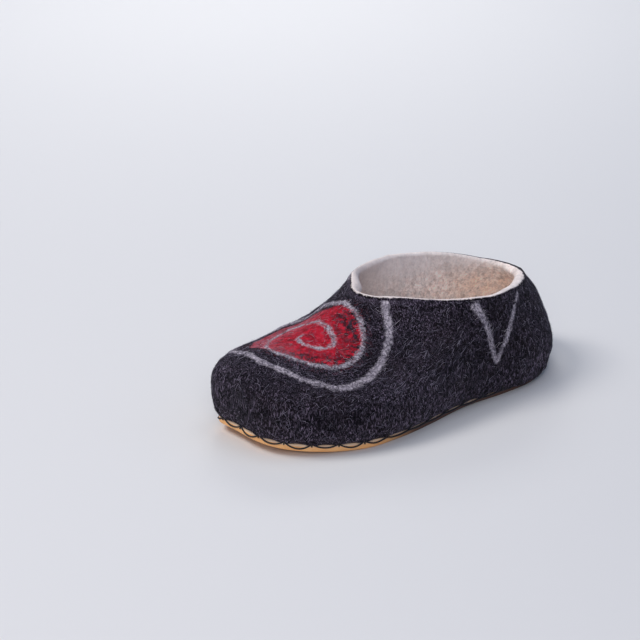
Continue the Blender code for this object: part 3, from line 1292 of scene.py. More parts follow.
@dataclass(frozen=True)
class SoleLeather:
    """Vegetable tanned leather with a paler cut edge, fine grain and faint scuffs, dark brown towards the
    heel by wear and painted shade.
    """

    groups: Groups
    side: Colour = (0.95, 0.51, 0.20)
    side_shade: Colour = (0.88, 0.42, 0.145)
    worn_and_shaded: Colour = (0.105, 0.046, 0.028)
    cut: Colour = (0.95, 0.74, 0.54)
    scuff: Colour = (0.33, 0.18, 0.085)
    worn_shade_y: Span = Span(-0.064, -0.022)
    cut_mm: Span = Span(1.9, 1.1)
    hole_mm: Span = Span(1.0, 0.5)
    under_z: Span = Span(-0.6, -0.98)
    marks: Mottle = Mottle(35.0, 420.0, 0.25)
    grain_per_metre: float = 1500.0
    grain_depth: float = 0.0002
    grain_strength: float = 0.25

    def material(self) -> bpy.types.Material:
        """Builds the finish from the sole's own height field."""
        material, graph, shader = new_material("sole_leather")
        place = graph.place()
        tone = graph.span(graph.noise(place, 90.0, 4.0), 0.3, 0.75)
        colour = graph.mix(tone, self.side, self.side_shade)
        top = graph.field("top_mm")
        # Towards the heel the side turns dark brown: partly wear, partly painted shade from the felt that
        # hangs over it.
        behind = graph.span(graph.node("SeparateXYZ", {0: place}).outputs["Y"], *self.worn_shade_y)
        colour = graph.mix(behind, colour, self.worn_and_shaded)
        rough = graph.times_plus(graph.noise(place, 500.0, 2.0), 0.7, top)
        cut = graph.times(graph.span(rough, *self.cut_mm), 0.70)
        colour = graph.mix(cut, colour, self.cut)
        shade = self.groups.shade(graph, place, self.marks)
        facing_down = graph.node("SeparateXYZ", {0: graph.node("NewGeometry").outputs["Normal"]}).outputs["Z"]
        worn = graph.times(graph.span(facing_down, *self.under_z), graph.span(shade, 1.0, 1.25))
        colour = graph.mix(graph.times(worn, 0.7), colour, self.scuff)
        hole = graph.span(graph.field("hole_mm"), *self.hole_mm)
        colour = graph.mix(graph.times(hole, 0.8), colour, self.scuff)
        graph.feed(shader.inputs["Base Color"], colour)
        cells = {"Vector": place, "Scale": self.grain_per_metre}
        grain = graph.node("TexVoronoi", cells, feature="F1").outputs["Distance"]
        height = graph.math("ADD", grain, graph.times(graph.noise(place, 240.0, 3.0), 1.5))
        relief = {"Height": height, "Strength": self.grain_strength, "Distance": self.grain_depth}
        graph.feed(shader.inputs["Normal"], graph.node("Bump", relief).outputs["Normal"])
        graph.feed(shader.inputs["Roughness"], graph.times_plus(tone, 0.15, 0.5))
        return material


@dataclass(frozen=True)
class WaxedThread:
    """Black waxed linen thread with a twist."""

    colour: Colour = (0.010, 0.009, 0.012)
    twist_mm: float = 1.3
    plies: float = 2.0
    relief: float = 0.0001
    relief_strength: float = 0.5
    roughness: float = 0.55

    def material(self) -> bpy.types.Material:
        """Builds the finish: bands that run askew along the thread's own map."""
        material, graph, shader = new_material("waxed_thread")
        along = graph.field("along_mm")
        turn = graph.field("turn")
        turns = graph.math("ADD", graph.math("DIVIDE", along, self.twist_mm), turn)
        ply = graph.math("SINE", graph.times(turns, self.plies * FULL_TURN))
        bump = graph.node("Bump", {"Height": ply, "Strength": self.relief_strength, "Distance": self.relief})
        graph.feed(shader.inputs["Normal"], bump.outputs["Normal"])
        shader.inputs["Base Color"].default_value = (*self.colour, 1.0)
        shader.inputs["Roughness"].default_value = self.roughness
        return material


@dataclass(frozen=True)
class PlainFloor:
    """A smooth pale floor."""

    colour: Colour = (0.752, 0.738, 0.708)
    roughness: float = 0.7
    specular: float = 0.2

    def material(self) -> bpy.types.Material:
        """Builds the finish, with painted light and shade that changes slowly over the floor."""
        material, graph, shader = new_material("plain_floor")
        # Painted light and shade: a slow rise and fall in brightness over the floor.
        slow_painted_light = graph.noise(graph.place(), 0.8, 1.0)
        shade = graph.times_plus(slow_painted_light, 0.04, 0.98)
        graph.feed(shader.inputs["Base Color"], graph.toned(self.colour, shade))
        shader.inputs["Roughness"].default_value = self.roughness
        shader.inputs["Specular IOR Level"].default_value = self.specular
        return material


@dataclass
class Upper:
    """The felt shell: one closed surface over its outer side, its collar and its lining."""

    last: Last
    rim_rows: int = 9
    lining_step: int = 2
    rim_round: float = 0.80
    flare: float = 0.0006
    far_flare: float = 0.0028
    heel_thick: float = 0.0034
    throat_round: float = 0.0042
    flare_from: float = 1.55
    lump: float = 0.00045
    small_lump: float = 0.00016
    relief: float = 0.00030
    pucker: float = 0.0009
    pucker_height: float = 0.009
    scallop: float = 0.0011
    droop: float = 0.0022
    droop_out: float = 0.0012
    droop_from: float = 3.10
    droop_until: float = 8.90
    droop_reach: float = 0.90
    heel_tuck: float = 0.0008
    heel_from: float = 3.9
    heel_until: float = 8.1
    rim_sway: float = 0.0006
    sway_wave: float = 0.035
    sway_from: float = 1.7
    lump_wave: float = 0.035
    small_lump_wave: float = 0.009
    lining_lump: float = 0.00036
    lining_wave: float = 0.022
    inner_side: float = 0.05
    thick_round: float = 4.7
    thick_span: float = 0.9
    throat_until: float = 1.9
    throat_span: float = 1.2
    flare_power: float = 2.5
    pale_fade_mm: float = 1.5
    red_fade_mm: float = 3.0
    red_relief: float = 0.4
    pull_width: float = 0.0022
    swell_share: float = 0.35
    swell_middle: float = 0.004
    swell_height: float = 0.005
    swell_clear: float = 0.006
    half_pitch: float = 0.0086
    start_up: float = 0.08
    heel_ease: float = 0.8
    belly_full: float = 0.2
    belly_from: float = 0.35
    belly_fade: float = 0.55
    lip_full: float = 0.12
    lip_from: float = 0.2
    lip_fade: float = 0.4
    flatter: float = 0.3

    def build(
        self, ornament: Ornament, stitches: Array, finish: bpy.types.Material
    ) -> tuple[Skin, Skin, dict[str, Array]]:
        """Makes the shell.

        The outer skin is the last's, moved along its outward direction by soft lumps, by the relief of
        the pale strokes and by the puckers that the stitches pull. The collar is a rounded ridge from
        the outer skin to the inner one, which is the outer one moved in by the wall.

        Args:
            ornament: The wool pattern.
            stitches: Places round the shoe where a stitch enters the felt.
            finish: The shell's finish.

        Returns:
            The outer skin, the lining and the pattern's fields on the outer skin.
        """
        last = self.last
        plain = last.outer_skin()
        inner = last.inner_skin(plain)[:: self.lining_step]
        fields = ornament.fields(Skin(last, plain))
        outer = self.shaped(plain, fields, stitches)
        soft = lumps(inner, self.lining_wave, 11)[..., None]
        inner = inner - self.lining_lump * soft * last.outward
        from_toe = np.minimum(last.rounds, STEPS_ROUND - last.rounds)
        flare = self.flare + (self.far_flare - self.flare) * ease(self.inner_side - last.outward[:, 0])
        thick = np.exp(-(((last.rounds - self.thick_round) / self.thick_span) ** 2))
        flare = flare - self.heel_thick * thick
        throat = ease((self.throat_until - from_toe) / self.throat_span)
        flare = flare - (flare + self.throat_round) * throat
        top = np.clip((last.ups() - self.flare_from) / (2 - self.flare_from), 0, 1)
        top = top[:: self.lining_step] ** self.flare_power
        inner += (top[:, None] * flare)[..., None] * last.outward
        sway = self.rim_sway * lumps(outer[-1], self.sway_wave, 3)
        top = ease((last.ups() - self.sway_from) / (2 - self.sway_from))[:, None]
        outer[..., 2] += top * sway
        inner[..., 2] += top[:: self.lining_step] * sway
        rim = self.rim(outer[-1], inner[-1])
        rows = np.concatenate([outer, rim, inner[::-1]])
        count = (len(outer), len(rim), len(inner))
        across = np.concatenate([np.zeros(count[0]), self.rim_depths(), np.ones(count[2])])
        depth = across * last.wall / MM
        shape = rows.shape[:2]
        far = np.full((count[1] + count[2], shape[1]), FAR_MM)
        steps = np.linalg.norm(np.diff(outer, axis=0, append=outer[-1:]), axis=-1)
        below_rim = {"rim_mm": np.cumsum(steps[::-1], 0)[::-1] / MM}
        values = {title: np.concatenate([grid, far]).ravel() for title, grid in (fields | below_rim).items()}
        values["depth_mm"] = np.repeat(depth, shape[1])
        quads = ring_quads(*shape, wrap_rows=True)
        piece = make_piece("felt_shell", rows, quads, finish, fields=values)
        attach(piece, "root")
        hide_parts("upper")
        lining = Skin(last, inner, self.lining_step)
        lining.normals = -lining.normals
        return Skin(last, outer), lining, fields

    def shaped(self, plain: Array, fields: dict[str, Array], stitches: Array) -> Array:
        """The outer skin with its unevenness, its raised strokes and its puckers.

        A stitch pulls the felt in by a bell curve of the way to it, and the felt between two stitches
        swells and hangs down in a scallop, by the cosine of the way between them.

        Args:
            plain: The last's outer skin.
            fields: The pattern's signed distances.
            stitches: Places round the shoe where a stitch enters the felt.

        Returns:
            The shaped skin.
        """
        last = self.last
        ups = last.ups()
        move = self.lump * lumps(plain, self.lump_wave, 1)
        move = move + self.small_lump * lumps(plain, self.small_lump_wave, 2)
        move = move + self.relief * ease(0.5 - fields["pale_mm"] / self.pale_fade_mm)
        move = move + self.relief * self.red_relief * ease(0.5 - fields["red_mm"] / self.red_fade_mm)
        run = np.concatenate([[0], np.cumsum(np.linalg.norm(np.diff(last.feather, axis=0), axis=1))])
        holes = np.interp(stitches, last.rounds, run)
        away = np.abs(run[:, None] - holes).min(1)
        height = plain[..., 2] - last.feather[:, 2]
        pull = np.exp(-((away / self.pull_width) ** 2)) * np.exp(-((height / self.pucker_height) ** 2))
        swell = np.exp(-(((height - self.swell_middle) / self.swell_height) ** 2))
        swell = self.swell_share * swell * np.minimum(away / self.swell_clear, 1)
        move = move + self.pucker * (swell - pull)
        start = ease(ups / self.start_up)[:, None]
        shaped = plain + (move * start)[..., None] * last.facing(plain)
        rounds = last.rounds
        heel = ease((rounds - self.heel_from) / self.heel_ease)
        heel = heel * ease((self.heel_until - rounds) / self.heel_ease)
        belly = ease(ups / self.belly_full) * (1 - ease((ups - self.belly_from) / self.belly_fade))
        belly = belly[:, None]
        shaped -= (self.heel_tuck * belly * heel)[..., None] * last.outward
        hang = self.droop_share()
        lip = ease(ups / self.lip_full) * (1 - ease((ups - self.lip_from) / self.lip_fade))
        lip = lip[:, None]
        shaped += (self.droop_out * lip * hang)[..., None] * last.outward
        span = np.cos(np.pi * np.minimum(away / self.half_pitch, 1))
        shaped[..., 2] -= lip * (self.droop * hang + self.scallop * (1 - self.flatter * hang) * span)
        return shaped

    def droop_share(self) -> Array:
        """How much the felt hangs over the leather at each station: none at the forefoot, all at the heel."""
        outer = ease((self.last.rounds - self.droop_from) / self.droop_reach)
        return outer * ease((self.droop_until - self.last.rounds) / self.droop_reach)

    def rim_depths(self) -> Array:
        """How far across the wall each row of the collar's edge lies, 0 outside and 1 inside."""
        turns = np.linspace(0, np.pi, self.rim_rows + 2)[1:-1]
        return (1 - np.cos(turns)) / 2

    def rim(self, outer_edge: Array, inner_edge: Array) -> Array:
        """The collar's edge: half an ellipse from the outer skin over to the inner one."""
        middle = (outer_edge + inner_edge) / 2
        half = (outer_edge - inner_edge) / 2
        thickness = np.linalg.norm(half, axis=1, keepdims=True)
        turns = np.linspace(0, np.pi, self.rim_rows + 2)[1:-1, None, None]
        return middle + np.cos(turns) * half + self.rim_round * np.sin(turns) * thickness * UP


class Wool(Enum):
    """The kinds of wool, each with its colours and how common they are."""

    CHARCOAL = (
        ((0.080, 0.072, 0.100), 0.40),
        ((0.330, 0.300, 0.370), 0.15),
        ((0.005, 0.004, 0.007), 0.40),
        ((0.050, 0.036, 0.045), 0.05),
    )
    PALE = (((0.55, 0.50, 0.54), 0.50), ((0.30, 0.27, 0.31), 0.30), ((0.03, 0.027, 0.034), 0.20))
    RED = (
        ((0.50, 0.016, 0.032), 0.50),
        ((0.24, 0.010, 0.018), 0.20),
        ((0.020, 0.016, 0.020), 0.22),
        ((0.45, 0.36, 0.38), 0.08),
    )
    CREAM = (((0.78, 0.72, 0.67), 0.55), ((0.60, 0.50, 0.42), 0.33), ((0.30, 0.20, 0.14), 0.12))

    def draw(self, chance: np.random.Generator, count: int) -> Array:
        """Colours for fibres, each a common one or a rarer one, a little lighter or darker.

        Args:
            chance: The source of random draws.
            count: How many fibres.

        Returns:
            Rows of three values.
        """
        colours = np.array([colour for colour, _ in self.value])
        shares = np.array([share for _, share in self.value])
        picked = colours[chance.choice(len(colours), count, p=shares / shares.sum())]
        return picked * chance.uniform(0.75, 1.25, (count, 1))


@dataclass
class Fibres:
    """Loose wool fibres on the shell, as thin closed prisms that follow the felt."""

    skin: Skin
    fields: dict[str, Array]
    lining: Skin
    finish: bpy.types.Material
    points: int = 5
    seed: int = 7
    low_spread: float = 0.5
    high_spread: float = 0.9
    spread_from: float = 0.35
    spread_rows: float = 30.0
    bend: float = 0.22
    wander: float = 0.25
    arch: float = 0.35
    arch_spread: float = 0.3
    arch_start: float = 0.12
    arch_part: float = 0.76
    least_lift: float = 0.00003
    first_row: float = 0.5
    last_rows: float = 1.2
    stray_mm: float = 0.8
    least_lean: float = 0.3
    most_lean: float = 1.6
    root_depth: float = 0.00015
    flatness: float = 0.7
    thin_end: float = 0.35
    taper_start: float = 0.1
    taper_part: float = 0.75
    least_cell: float = 1e-5

    def build(
        self, name: str, count: int, length_mm: tuple[float, float], width_mm: float, rise_mm: float
    ) -> None:
        """Makes one piece of fibres that lie on the felt.

        A fibre starts at a random place, even by area, and walks over the skin with a heading that
        wanders about the upright. It arches over the felt by a share of rise_mm and ends in it.

        Args:
            name: The piece's name.
            count: How many fibres.
            length_mm: Their least and greatest length.
            width_mm: Their greatest width.
            rise_mm: How far they stand off the felt.
        """
        chance = np.random.default_rng(self.seed + count)
        row, column = self.scatter(self.skin.points, count, chance)
        length = chance.uniform(*length_mm, count) * MM
        high = ease((row - self.skin.ups.size * self.spread_from) / self.spread_rows)
        spread = self.low_spread + self.high_spread * high
        heading = np.pi / 2 + chance.normal(0, 1, count) * spread
        bend = chance.normal(0, self.bend, count)
        path = np.empty((self.points, count, 3))
        normals = np.empty_like(path)
        steps = np.linspace(0, 1, self.points)
        arch = np.abs(chance.normal(self.arch, self.arch_spread, count)) * rise_mm * MM
        first = (row.copy(), column.copy())
        round_size, up_size = self.cell_sizes(self.skin.points)
        step = length / (self.points - 1)
        last_row = len(self.skin.ups) - self.last_rows
        for k, share in enumerate(steps):
            normals[k] = unit(self.skin.read(self.skin.normals, row, column))
            lift = arch * np.sin(np.pi * (self.arch_start + self.arch_part * share)) + self.least_lift
            path[k] = self.skin.read(self.skin.points, row, column) + normals[k] * lift[:, None]
            heading = heading + bend + chance.normal(0, self.wander, count)
            column = column + step * np.cos(heading) / self.skin.read(round_size, row, column)
            row = row + step * np.sin(heading) / self.skin.read(up_size, row, column)
            row = np.clip(row, self.first_row, last_row)
        colours = self.colours(*first, chance)
        self.sweep(name, path, normals, width_mm, colours)

    def scatter(self, points: Array, count: int, chance: np.random.Generator) -> tuple[Array, Array]:
        """Random rows and columns of a grid, as likely anywhere on its area.

        Args:
            points: The grid.
            count: How many places.
            chance: The source of random draws.

        Returns:
            The rows and the columns, with fractions.
        """
        round_size, up_size = self.cell_sizes(points)
        area = (round_size * up_size)[:-1]
        chosen = np.searchsorted(np.cumsum(area) / area.sum(), chance.uniform(size=count))
        chosen = np.minimum(chosen, area.size - 1)
        row, column = np.unravel_index(chosen, area.shape)
        return row + chance.uniform(size=count), column + chance.uniform(size=count)

    def cell_sizes(self, points: Array) -> tuple[Array, Array]:
        """How many metres one column and one row of a grid are, at each of its points."""
        round_size = np.linalg.norm(np.roll(points, -1, 1) - points, axis=-1)
        up_size = np.linalg.norm(np.gradient(points, axis=0), axis=-1)
        return np.maximum(round_size, self.least_cell), np.maximum(up_size, self.least_cell)

    def colours(self, row: Array, column: Array, chance: np.random.Generator) -> Array:
        """Each fibre's colour, drawn from the wool that it grows in, with some carried over an edge.

        Args:
            row: Row numbers of the fibres' roots.
            column: Column numbers of the fibres' roots.
            chance: The source of random draws.

        Returns:
            Rows of three values.
        """
        count = len(row)
        stray = chance.normal(0, self.stray_mm, count)
        pale = self.skin.read(self.fields["pale_mm"], row, column) + stray < 0
        red = self.skin.read(self.fields["red_mm"], row, column) + stray < 0
        drawn = Wool.CHARCOAL.draw(chance, count)
        drawn = np.where(red[:, None], Wool.RED.draw(chance, count), drawn)
        return np.where(pale[:, None], Wool.PALE.draw(chance, count), drawn)

    def stand(
        self,
        name: str,
        grid: Skin,
        count: int,
        length_mm: tuple[float, float],
        width_mm: float,
        wool: Wool | None,
    ) -> None:
        """Makes one piece of short hairs that stand out of a skin, each bent to one side.

        Args:
            name: The piece's name.
            grid: The skin that they grow on.
            count: How many hairs.
            length_mm: Their least and greatest length.
            width_mm: Their width at the root.
            wool: Their wool, or None where it is that of the pattern below.
        """
        chance = np.random.default_rng(self.seed + count + 1)
        row, column = self.scatter(grid.points, count, chance)
        root = grid.read(grid.points, row, column)
        out = unit(grid.read(grid.normals, row, column))
        side = unit(np.cross(out, chance.normal(size=(count, 3))))
        length = chance.uniform(*length_mm, count)[:, None] * MM
        lean = chance.uniform(self.least_lean, self.most_lean, (count, 1))
        steps = np.linspace(0, 1, self.points - 1)[:, None, None]
        way = unit(out + lean * steps * side)
        step = length / (self.points - 2)
        path = root + np.cumsum(way * step, 0) - way[0] * step - self.root_depth * out
        normals = np.broadcast_to(np.cross(side, out), path.shape)
        colours = self.colours(row, column, chance) if wool is None else wool.draw(chance, count)
        self.sweep(name, path, normals, width_mm, colours)

    def sweep(
        self, name: str, path: Array, normals: Array, width_mm: float, colours: Array
    ) -> None:
        """Makes one piece of prisms along the paths, each thinner towards both its ends.

        Args:
            name: The piece's name.
            path: An array of (steps, fibres, 3).
            normals: The way out of the felt at each of those points.
            width_mm: The greatest width.
            colours: Each fibre's colour.
        """
        points, count = path.shape[:2]
        ahead = unit(np.gradient(path, axis=0))
        side = unit(np.cross(ahead, normals))
        lift = np.cross(side, ahead)
        share = np.linspace(0, 1, points)[:, None, None]
        full = np.sin(np.pi * (self.taper_start + self.taper_part * share))
        half = width_mm * MM / 2 * (self.thin_end + (1 - self.thin_end) * full)
        turns = np.radians([90.0, 210.0, 330.0])
        grid, faces = prisms(
            [path + half * (np.cos(t) * side + np.sin(t) * self.flatness * lift) for t in turns]
        )
        wool = np.ones((count, len(turns) * points, 4))
        wool[..., :3] = np.clip(colours, 0, 1)[:, None]
        piece = make_piece(name, grid, faces, self.finish, fields={"wool": wool.reshape(-1, 4)})
        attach(piece, "root")


@dataclass
class Stitching:
    """The blanket stitch round the sole: sagging loops of thread, with a tie at each of their ends."""

    last: Last
    pitch: float = 0.0172
    first: float = 0.006
    thread: float = 0.00105
    sag: float = 0.0027
    tie_up: float = 0.0036
    tie_down: float = 0.0012
    tuck: float = 0.0014
    loop_points: int = 15
    tie_points: int = 8
    sides: int = 8
    least_reach: float = 0.0004
    clear: float = 0.0003
    loop_rise: float = 0.0006
    least_loop: float = 0.75
    most_loop: float = 1.3
    hidden_sag: float = 0.6
    loop_fullness: float = 0.8
    loop_slack: float = 0.5
    tie_start: float = 0.0012
    tie_over: float = 0.0004
    tie_hidden: float = 0.0034
    tie_sink: float = 0.0003
    tie_bury: float = 0.0011
    bury_from: float = 0.75
    least_tie: float = 0.75
    most_tie: float = 1.2
    tie_lean: float = 0.0007
    wall_rows: float = 24.0
    seed: int = 4
    tilt: Point = (0.105, 0.063, 0.0)
    run: Array = field(init=False)
    count: int = field(init=False)
    at: Array = field(init=False)

    def __post_init__(self) -> None:
        """Sets the holes at even steps round the sole's edge."""
        closed = np.concatenate([self.last.feather, self.last.feather[:1]])
        self.run = np.concatenate([[0], np.cumsum(np.linalg.norm(np.diff(closed, axis=0), axis=1))])
        self.count = round(self.run[-1] / self.pitch)
        self.at = (np.arange(self.count) / self.count * self.run[-1] + self.first) % self.run[-1]

    def holes(self) -> Array:
        """Where the stitches enter the felt, as places round the shoe."""
        return np.interp(self.at, self.run, np.append(self.last.rounds, STEPS_ROUND))

    def along(self, distance: Array, values: Array) -> Array:
        """Values kept for each station, read at distances round the sole's edge.

        Args:
            distance: How far round from the toe.
            values: Rows of three values, one for each station.

        Returns:
            Rows of three values.
        """
        closed = np.concatenate([values, values[:1]])
        at = np.mod(distance, self.run[-1])
        return np.stack([np.interp(at, self.run, closed[:, k]) for k in range(3)], -1)

    def build(self, skin: Skin, finish: WaxedThread) -> None:
        """Makes the thread.

        Between two holes it hangs down over the sole's side by the sag times the sine of the way
        across, and at each hole a tie runs from the leather's top up into the felt.

        Args:
            skin: The felt's outer skin, which the ties lie on.
            finish: The thread's finish.
        """
        chance = np.random.default_rng(self.seed)
        step = self.run[-1] / self.count
        share = np.linspace(0, 1, self.loop_points)[:, None]
        distance = self.at + share * step
        edge = self.along(distance, self.last.feather)
        out = unit(self.along(distance, self.last.outward))
        arc = np.sin(np.pi * share)
        droop = self.sag * arc**self.loop_fullness
        droop = droop * chance.uniform(self.least_loop, self.most_loop, self.count)
        slack = arc**self.loop_slack
        margin = self.last.sole_margin(edge[..., 1])
        hidden = self.hidden(margin)
        reach = self.least_reach * (1 - slack) + (margin + self.clear) * slack
        level = self.loop_rise - droop * (1 - self.hidden_sag * hidden) - self.tuck * hidden
        loops = edge + out * reach[..., None] + level[..., None] * UP
        ties = self.ties(skin, self.holes(), chance)
        start = 0
        points, faces, fields = [], [], {"along_mm": [], "turn": []}
        for path in (loops, ties):
            grid, quads = self.tube(path)
            points.append(grid)
            faces += [[corner + start for corner in face] for face in quads]
            along, turn = self.thread_map(path)
            fields["along_mm"].append(along)
            fields["turn"].append(turn)
            start += len(grid)
        values = {title: np.concatenate(parts) for title, parts in fields.items()}
        piece = make_piece("blanket_stitch", np.concatenate(points), faces, finish.material(), fields=values)
        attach(piece, "root")

    def hidden(self, margin: Array) -> Array:
        """How far the felt overhangs the sole, from 0 at the toe to 1 at the heel."""
        return (self.last.toe_margin - margin) / (self.last.toe_margin - self.last.heel_margin)

    def ties(self, skin: Skin, rounds: Array, chance: np.random.Generator) -> Array:
        """Short upright stitches from the leather's side, over its edge and up on the felt.

        Args:
            skin: The felt's outer skin.
            rounds: The places round the shoe where they stand.
            chance: The source of random draws.

        Returns:
            Their paths, as an array of (steps, ties, 3).
        """
        edge = self.along(self.at, self.last.feather)
        out = unit(self.along(self.at, self.last.outward))
        column = np.interp(rounds, skin.rounds, np.arange(len(skin.rounds)))
        low = np.arange(self.wall_rows)[:, None] + 0 * column
        wall = skin.read(skin.points, low.ravel(), np.tile(column, len(low))).reshape(*low.shape, 3)
        steps = np.linalg.norm(np.diff(wall, axis=0, prepend=wall[:1]), axis=-1)
        arc = np.cumsum(steps, 0)
        margin = self.last.sole_margin(edge[:, 1])
        up = self.tie_up * chance.uniform(self.least_tie, self.most_tie, len(rounds))
        up = up + self.tie_hidden * self.hidden(margin)
        share = np.linspace(0, 1, self.tie_points)[:, None]
        reach = self.tie_start + (up - self.tie_start) * share
        row = np.stack([np.interp(reach[:, k], arc[:, k], low[:, k]) for k in range(len(rounds))], 1)
        spots = (row.ravel(), np.tile(column, len(row)))
        place = skin.read(skin.points, *spots).reshape(*row.shape, 3)
        facing = unit(skin.read(skin.normals, *spots)).reshape(*row.shape, 3)
        sink = self.tie_sink - self.tie_bury * ease((share - self.bury_from) / (1 - self.bury_from))
        lean = chance.normal(0, self.tie_lean, len(rounds)) * share
        place = place + facing * sink[..., None] + np.cross(out, UP) * lean[..., None]
        beside = edge + out * (margin + self.clear)[:, None]
        foot = [beside - drop * UP for drop in (self.tie_down, self.tie_over)]
        return np.concatenate([np.stack(foot), place])

    def tube(self, path: Array) -> tuple[Array, list[list[int]]]:
        """A circle carried along every path. The tilt is a direction that no thread runs along."""
        ahead = unit(np.gradient(path, axis=0))
        side = unit(np.cross(ahead, UP + self.tilt))
        lift = np.cross(side, ahead)
        turns = np.arange(self.sides) * FULL_TURN / self.sides
        return prisms([path + self.thread / 2 * (np.cos(t) * side + np.sin(t) * lift) for t in turns])

    def thread_map(self, path: Array) -> tuple[Array, Array]:
        """How far along the thread, and how far round it, each point of its tube lies."""
        steps = np.linalg.norm(np.gradient(path, axis=0), axis=-1)
        along = np.repeat(np.cumsum(steps, 0).T[..., None], self.sides, 2) / MM
        turn = np.broadcast_to(np.arange(self.sides) / self.sides, along.shape)
        return along.ravel(), turn.ravel()


@dataclass
class Outsole:
    """The leather sole: flat under heel and ball, low at the waist, sprung at the toe."""

    last: Last
    cap_columns: int = 14
    thread_drop: float = 0.001

    def profile(self) -> tuple[tuple[float, float, float], ...]:
        """How the edge is shaped, as rows of inset, height above the underside and share of the top."""
        return (
            (0.0012, 0.0000, 0.0),
            (0.0007, 0.0001, 0.0),
            (0.0003, 0.0004, 0.0),
            (0.0001, 0.0008, 0.0),
            (0.0000, 0.0013, 0.0),
            (0.0000, -0.0021, 1.0),
            (0.0002, -0.0014, 1.0),
            (0.0007, -0.0006, 1.0),
            (0.0013, -0.0001, 1.0),
            (0.0024, 0.0000, 1.0),
        )

    def build(self, stitching: Stitching, finish: SoleLeather) -> None:
        """Makes the sole: its edge's profile carried round the outline, with both sides filled.

        Args:
            stitching: The stitches, whose holes darken the leather.
            finish: The leather's finish.
        """
        last = self.last
        edge = last.feather + last.sole_margin(last.feather[:, 1:2]) * last.outward
        under = last.toe_lift(edge[:, 1]) + last.arch_lift(edge[:, 1])
        top = last.sole_thickness + last.toe_lift(edge[:, 1])
        rows = []
        for inset, rise, share in self.profile():
            ring = edge - inset * last.outward
            ring[:, 2] = under * (1 - share) + top * share + rise
            rows.append(ring)
        rows = np.stack(rows)
        caps = [cap_grid(rows[0], self.cap_columns), cap_grid(rows[-1], self.cap_columns)]
        points = np.concatenate([rows.reshape(-1, 3), *(cap.reshape(-1, 3) for cap in caps)])
        quads = [ring_quads(*rows.shape[:2])]
        start = rows[..., 0].size
        for cap in caps:
            quads.append(sheet_quads(*cap.shape[:2], start))
            start += cap[..., 0].size
        height = last.sole_thickness + last.toe_lift(points[:, 1]) - points[:, 2]
        holes = stitching.along(stitching.at, last.feather)
        away, _ = nearest(points, holes - self.thread_drop * UP)
        fields = {"top_mm": height / MM, "hole_mm": away / MM}
        piece = make_piece(
            "leather_outsole", points, np.concatenate(quads), finish.material(), weld=True, fields=fields
        )
        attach(piece, "root")
        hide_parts("sole")


@dataclass
class Footbed:
    """The felt footbed, a little hollowed under heel and ball."""

    last: Last
    thickness: float = 0.0050
    round: float = 0.0013
    gap: float = 0.0003
    hollow: float = 0.0008
    cap_columns: int = 40
    profile: tuple[tuple[float, float], ...] = ((0.0, 0.0), (0.4, 0.0), (0.74, 0.0), (0.93, 0.5), (1.0, 1.3))
    heel_y: float = 0.085
    heel_reach: float = 0.028
    ball_y: float = -0.050
    ball_reach: float = 0.035
    lump: float = 0.0003
    lump_wave: float = 0.02
    edge_share: float = 6.0

    def build(self, finish: bpy.types.Material) -> None:
        """Makes the footbed: a ring up the inside of the wall, filled above and below.

        The profile gives shares of the thickness and insets in millimetres. The upper face sinks by the
        hollow times a bell curve about the heel and another about the ball, and carries soft lumps,
        both fading out at its edge.

        Args:
            finish: The felt's finish, shared with the upper.
        """
        last = self.last
        inner = last.inner_skin(last.outer_skin())[: last.low_rows]
        base = inner[0, :, 2]
        rows = []
        for height, inset in self.profile:
            level = base + self.thickness * height
            ring = self.at_level(inner, np.minimum(level, base + self.thickness - self.round))
            ring = ring - (self.gap + inset * MM) * last.outward
            ring[:, 2] = level
            rows.append(ring)
        rows = np.stack(rows)
        under = cap_grid(rows[0], self.cap_columns)
        over = cap_grid(rows[-1], self.cap_columns)
        across = np.linspace(0, 1, self.cap_columns)
        fade = ease(np.minimum(across, 1 - across) * self.edge_share)
        heel = np.exp(-(((over[..., 1] - self.heel_y) / self.heel_reach) ** 2))
        ball = np.exp(-(((over[..., 1] - self.ball_y) / self.ball_reach) ** 2))
        soft = self.lump * lumps(over, self.lump_wave, 8)
        over[..., 2] -= fade * (self.hollow * (heel + ball) - soft)
        points = np.concatenate([rows.reshape(-1, 3), under.reshape(-1, 3), over.reshape(-1, 3)])
        start = rows[..., 0].size
        quads = [ring_quads(*rows.shape[:2]), sheet_quads(*under.shape[:2], start)]
        quads.append(sheet_quads(*over.shape[:2], start + under[..., 0].size))
        away = np.full(len(points), FAR_MM)
        inside = np.full(len(points), last.wall / MM)
        fields = {"pale_mm": away, "red_mm": away, "rim_mm": away, "depth_mm": inside}
        piece = make_piece("felt_footbed", points, np.concatenate(quads), finish, weld=True, fields=fields)
        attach(piece, "root")
        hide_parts("insole")

    def at_level(self, inner: Array, level: Array) -> Array:
        """The ring of points where the wall's inside reaches the given heights.

        Args:
            inner: The felt's inner skin.
            level: A height for each column.

        Returns:
            A point for each column.
        """
        rows, columns = inner.shape[:2]
        column = np.arange(columns)
        above = np.clip((inner[..., 2] < level).sum(0), 1, rows - 1)
        low, high = inner[above - 1, column], inner[above, column]
        share = np.clip((level - low[:, 2]) / (high[:, 2] - low[:, 2] + TINY), 0, 1)[:, None]
        return low * (1 - share) + high * share


class Softbox(NamedTuple):
    """A square light, with its size in metres and its power in watts."""

    name: str
    place: Point
    aim: Point
    size: float
    power: float
    colour: Colour


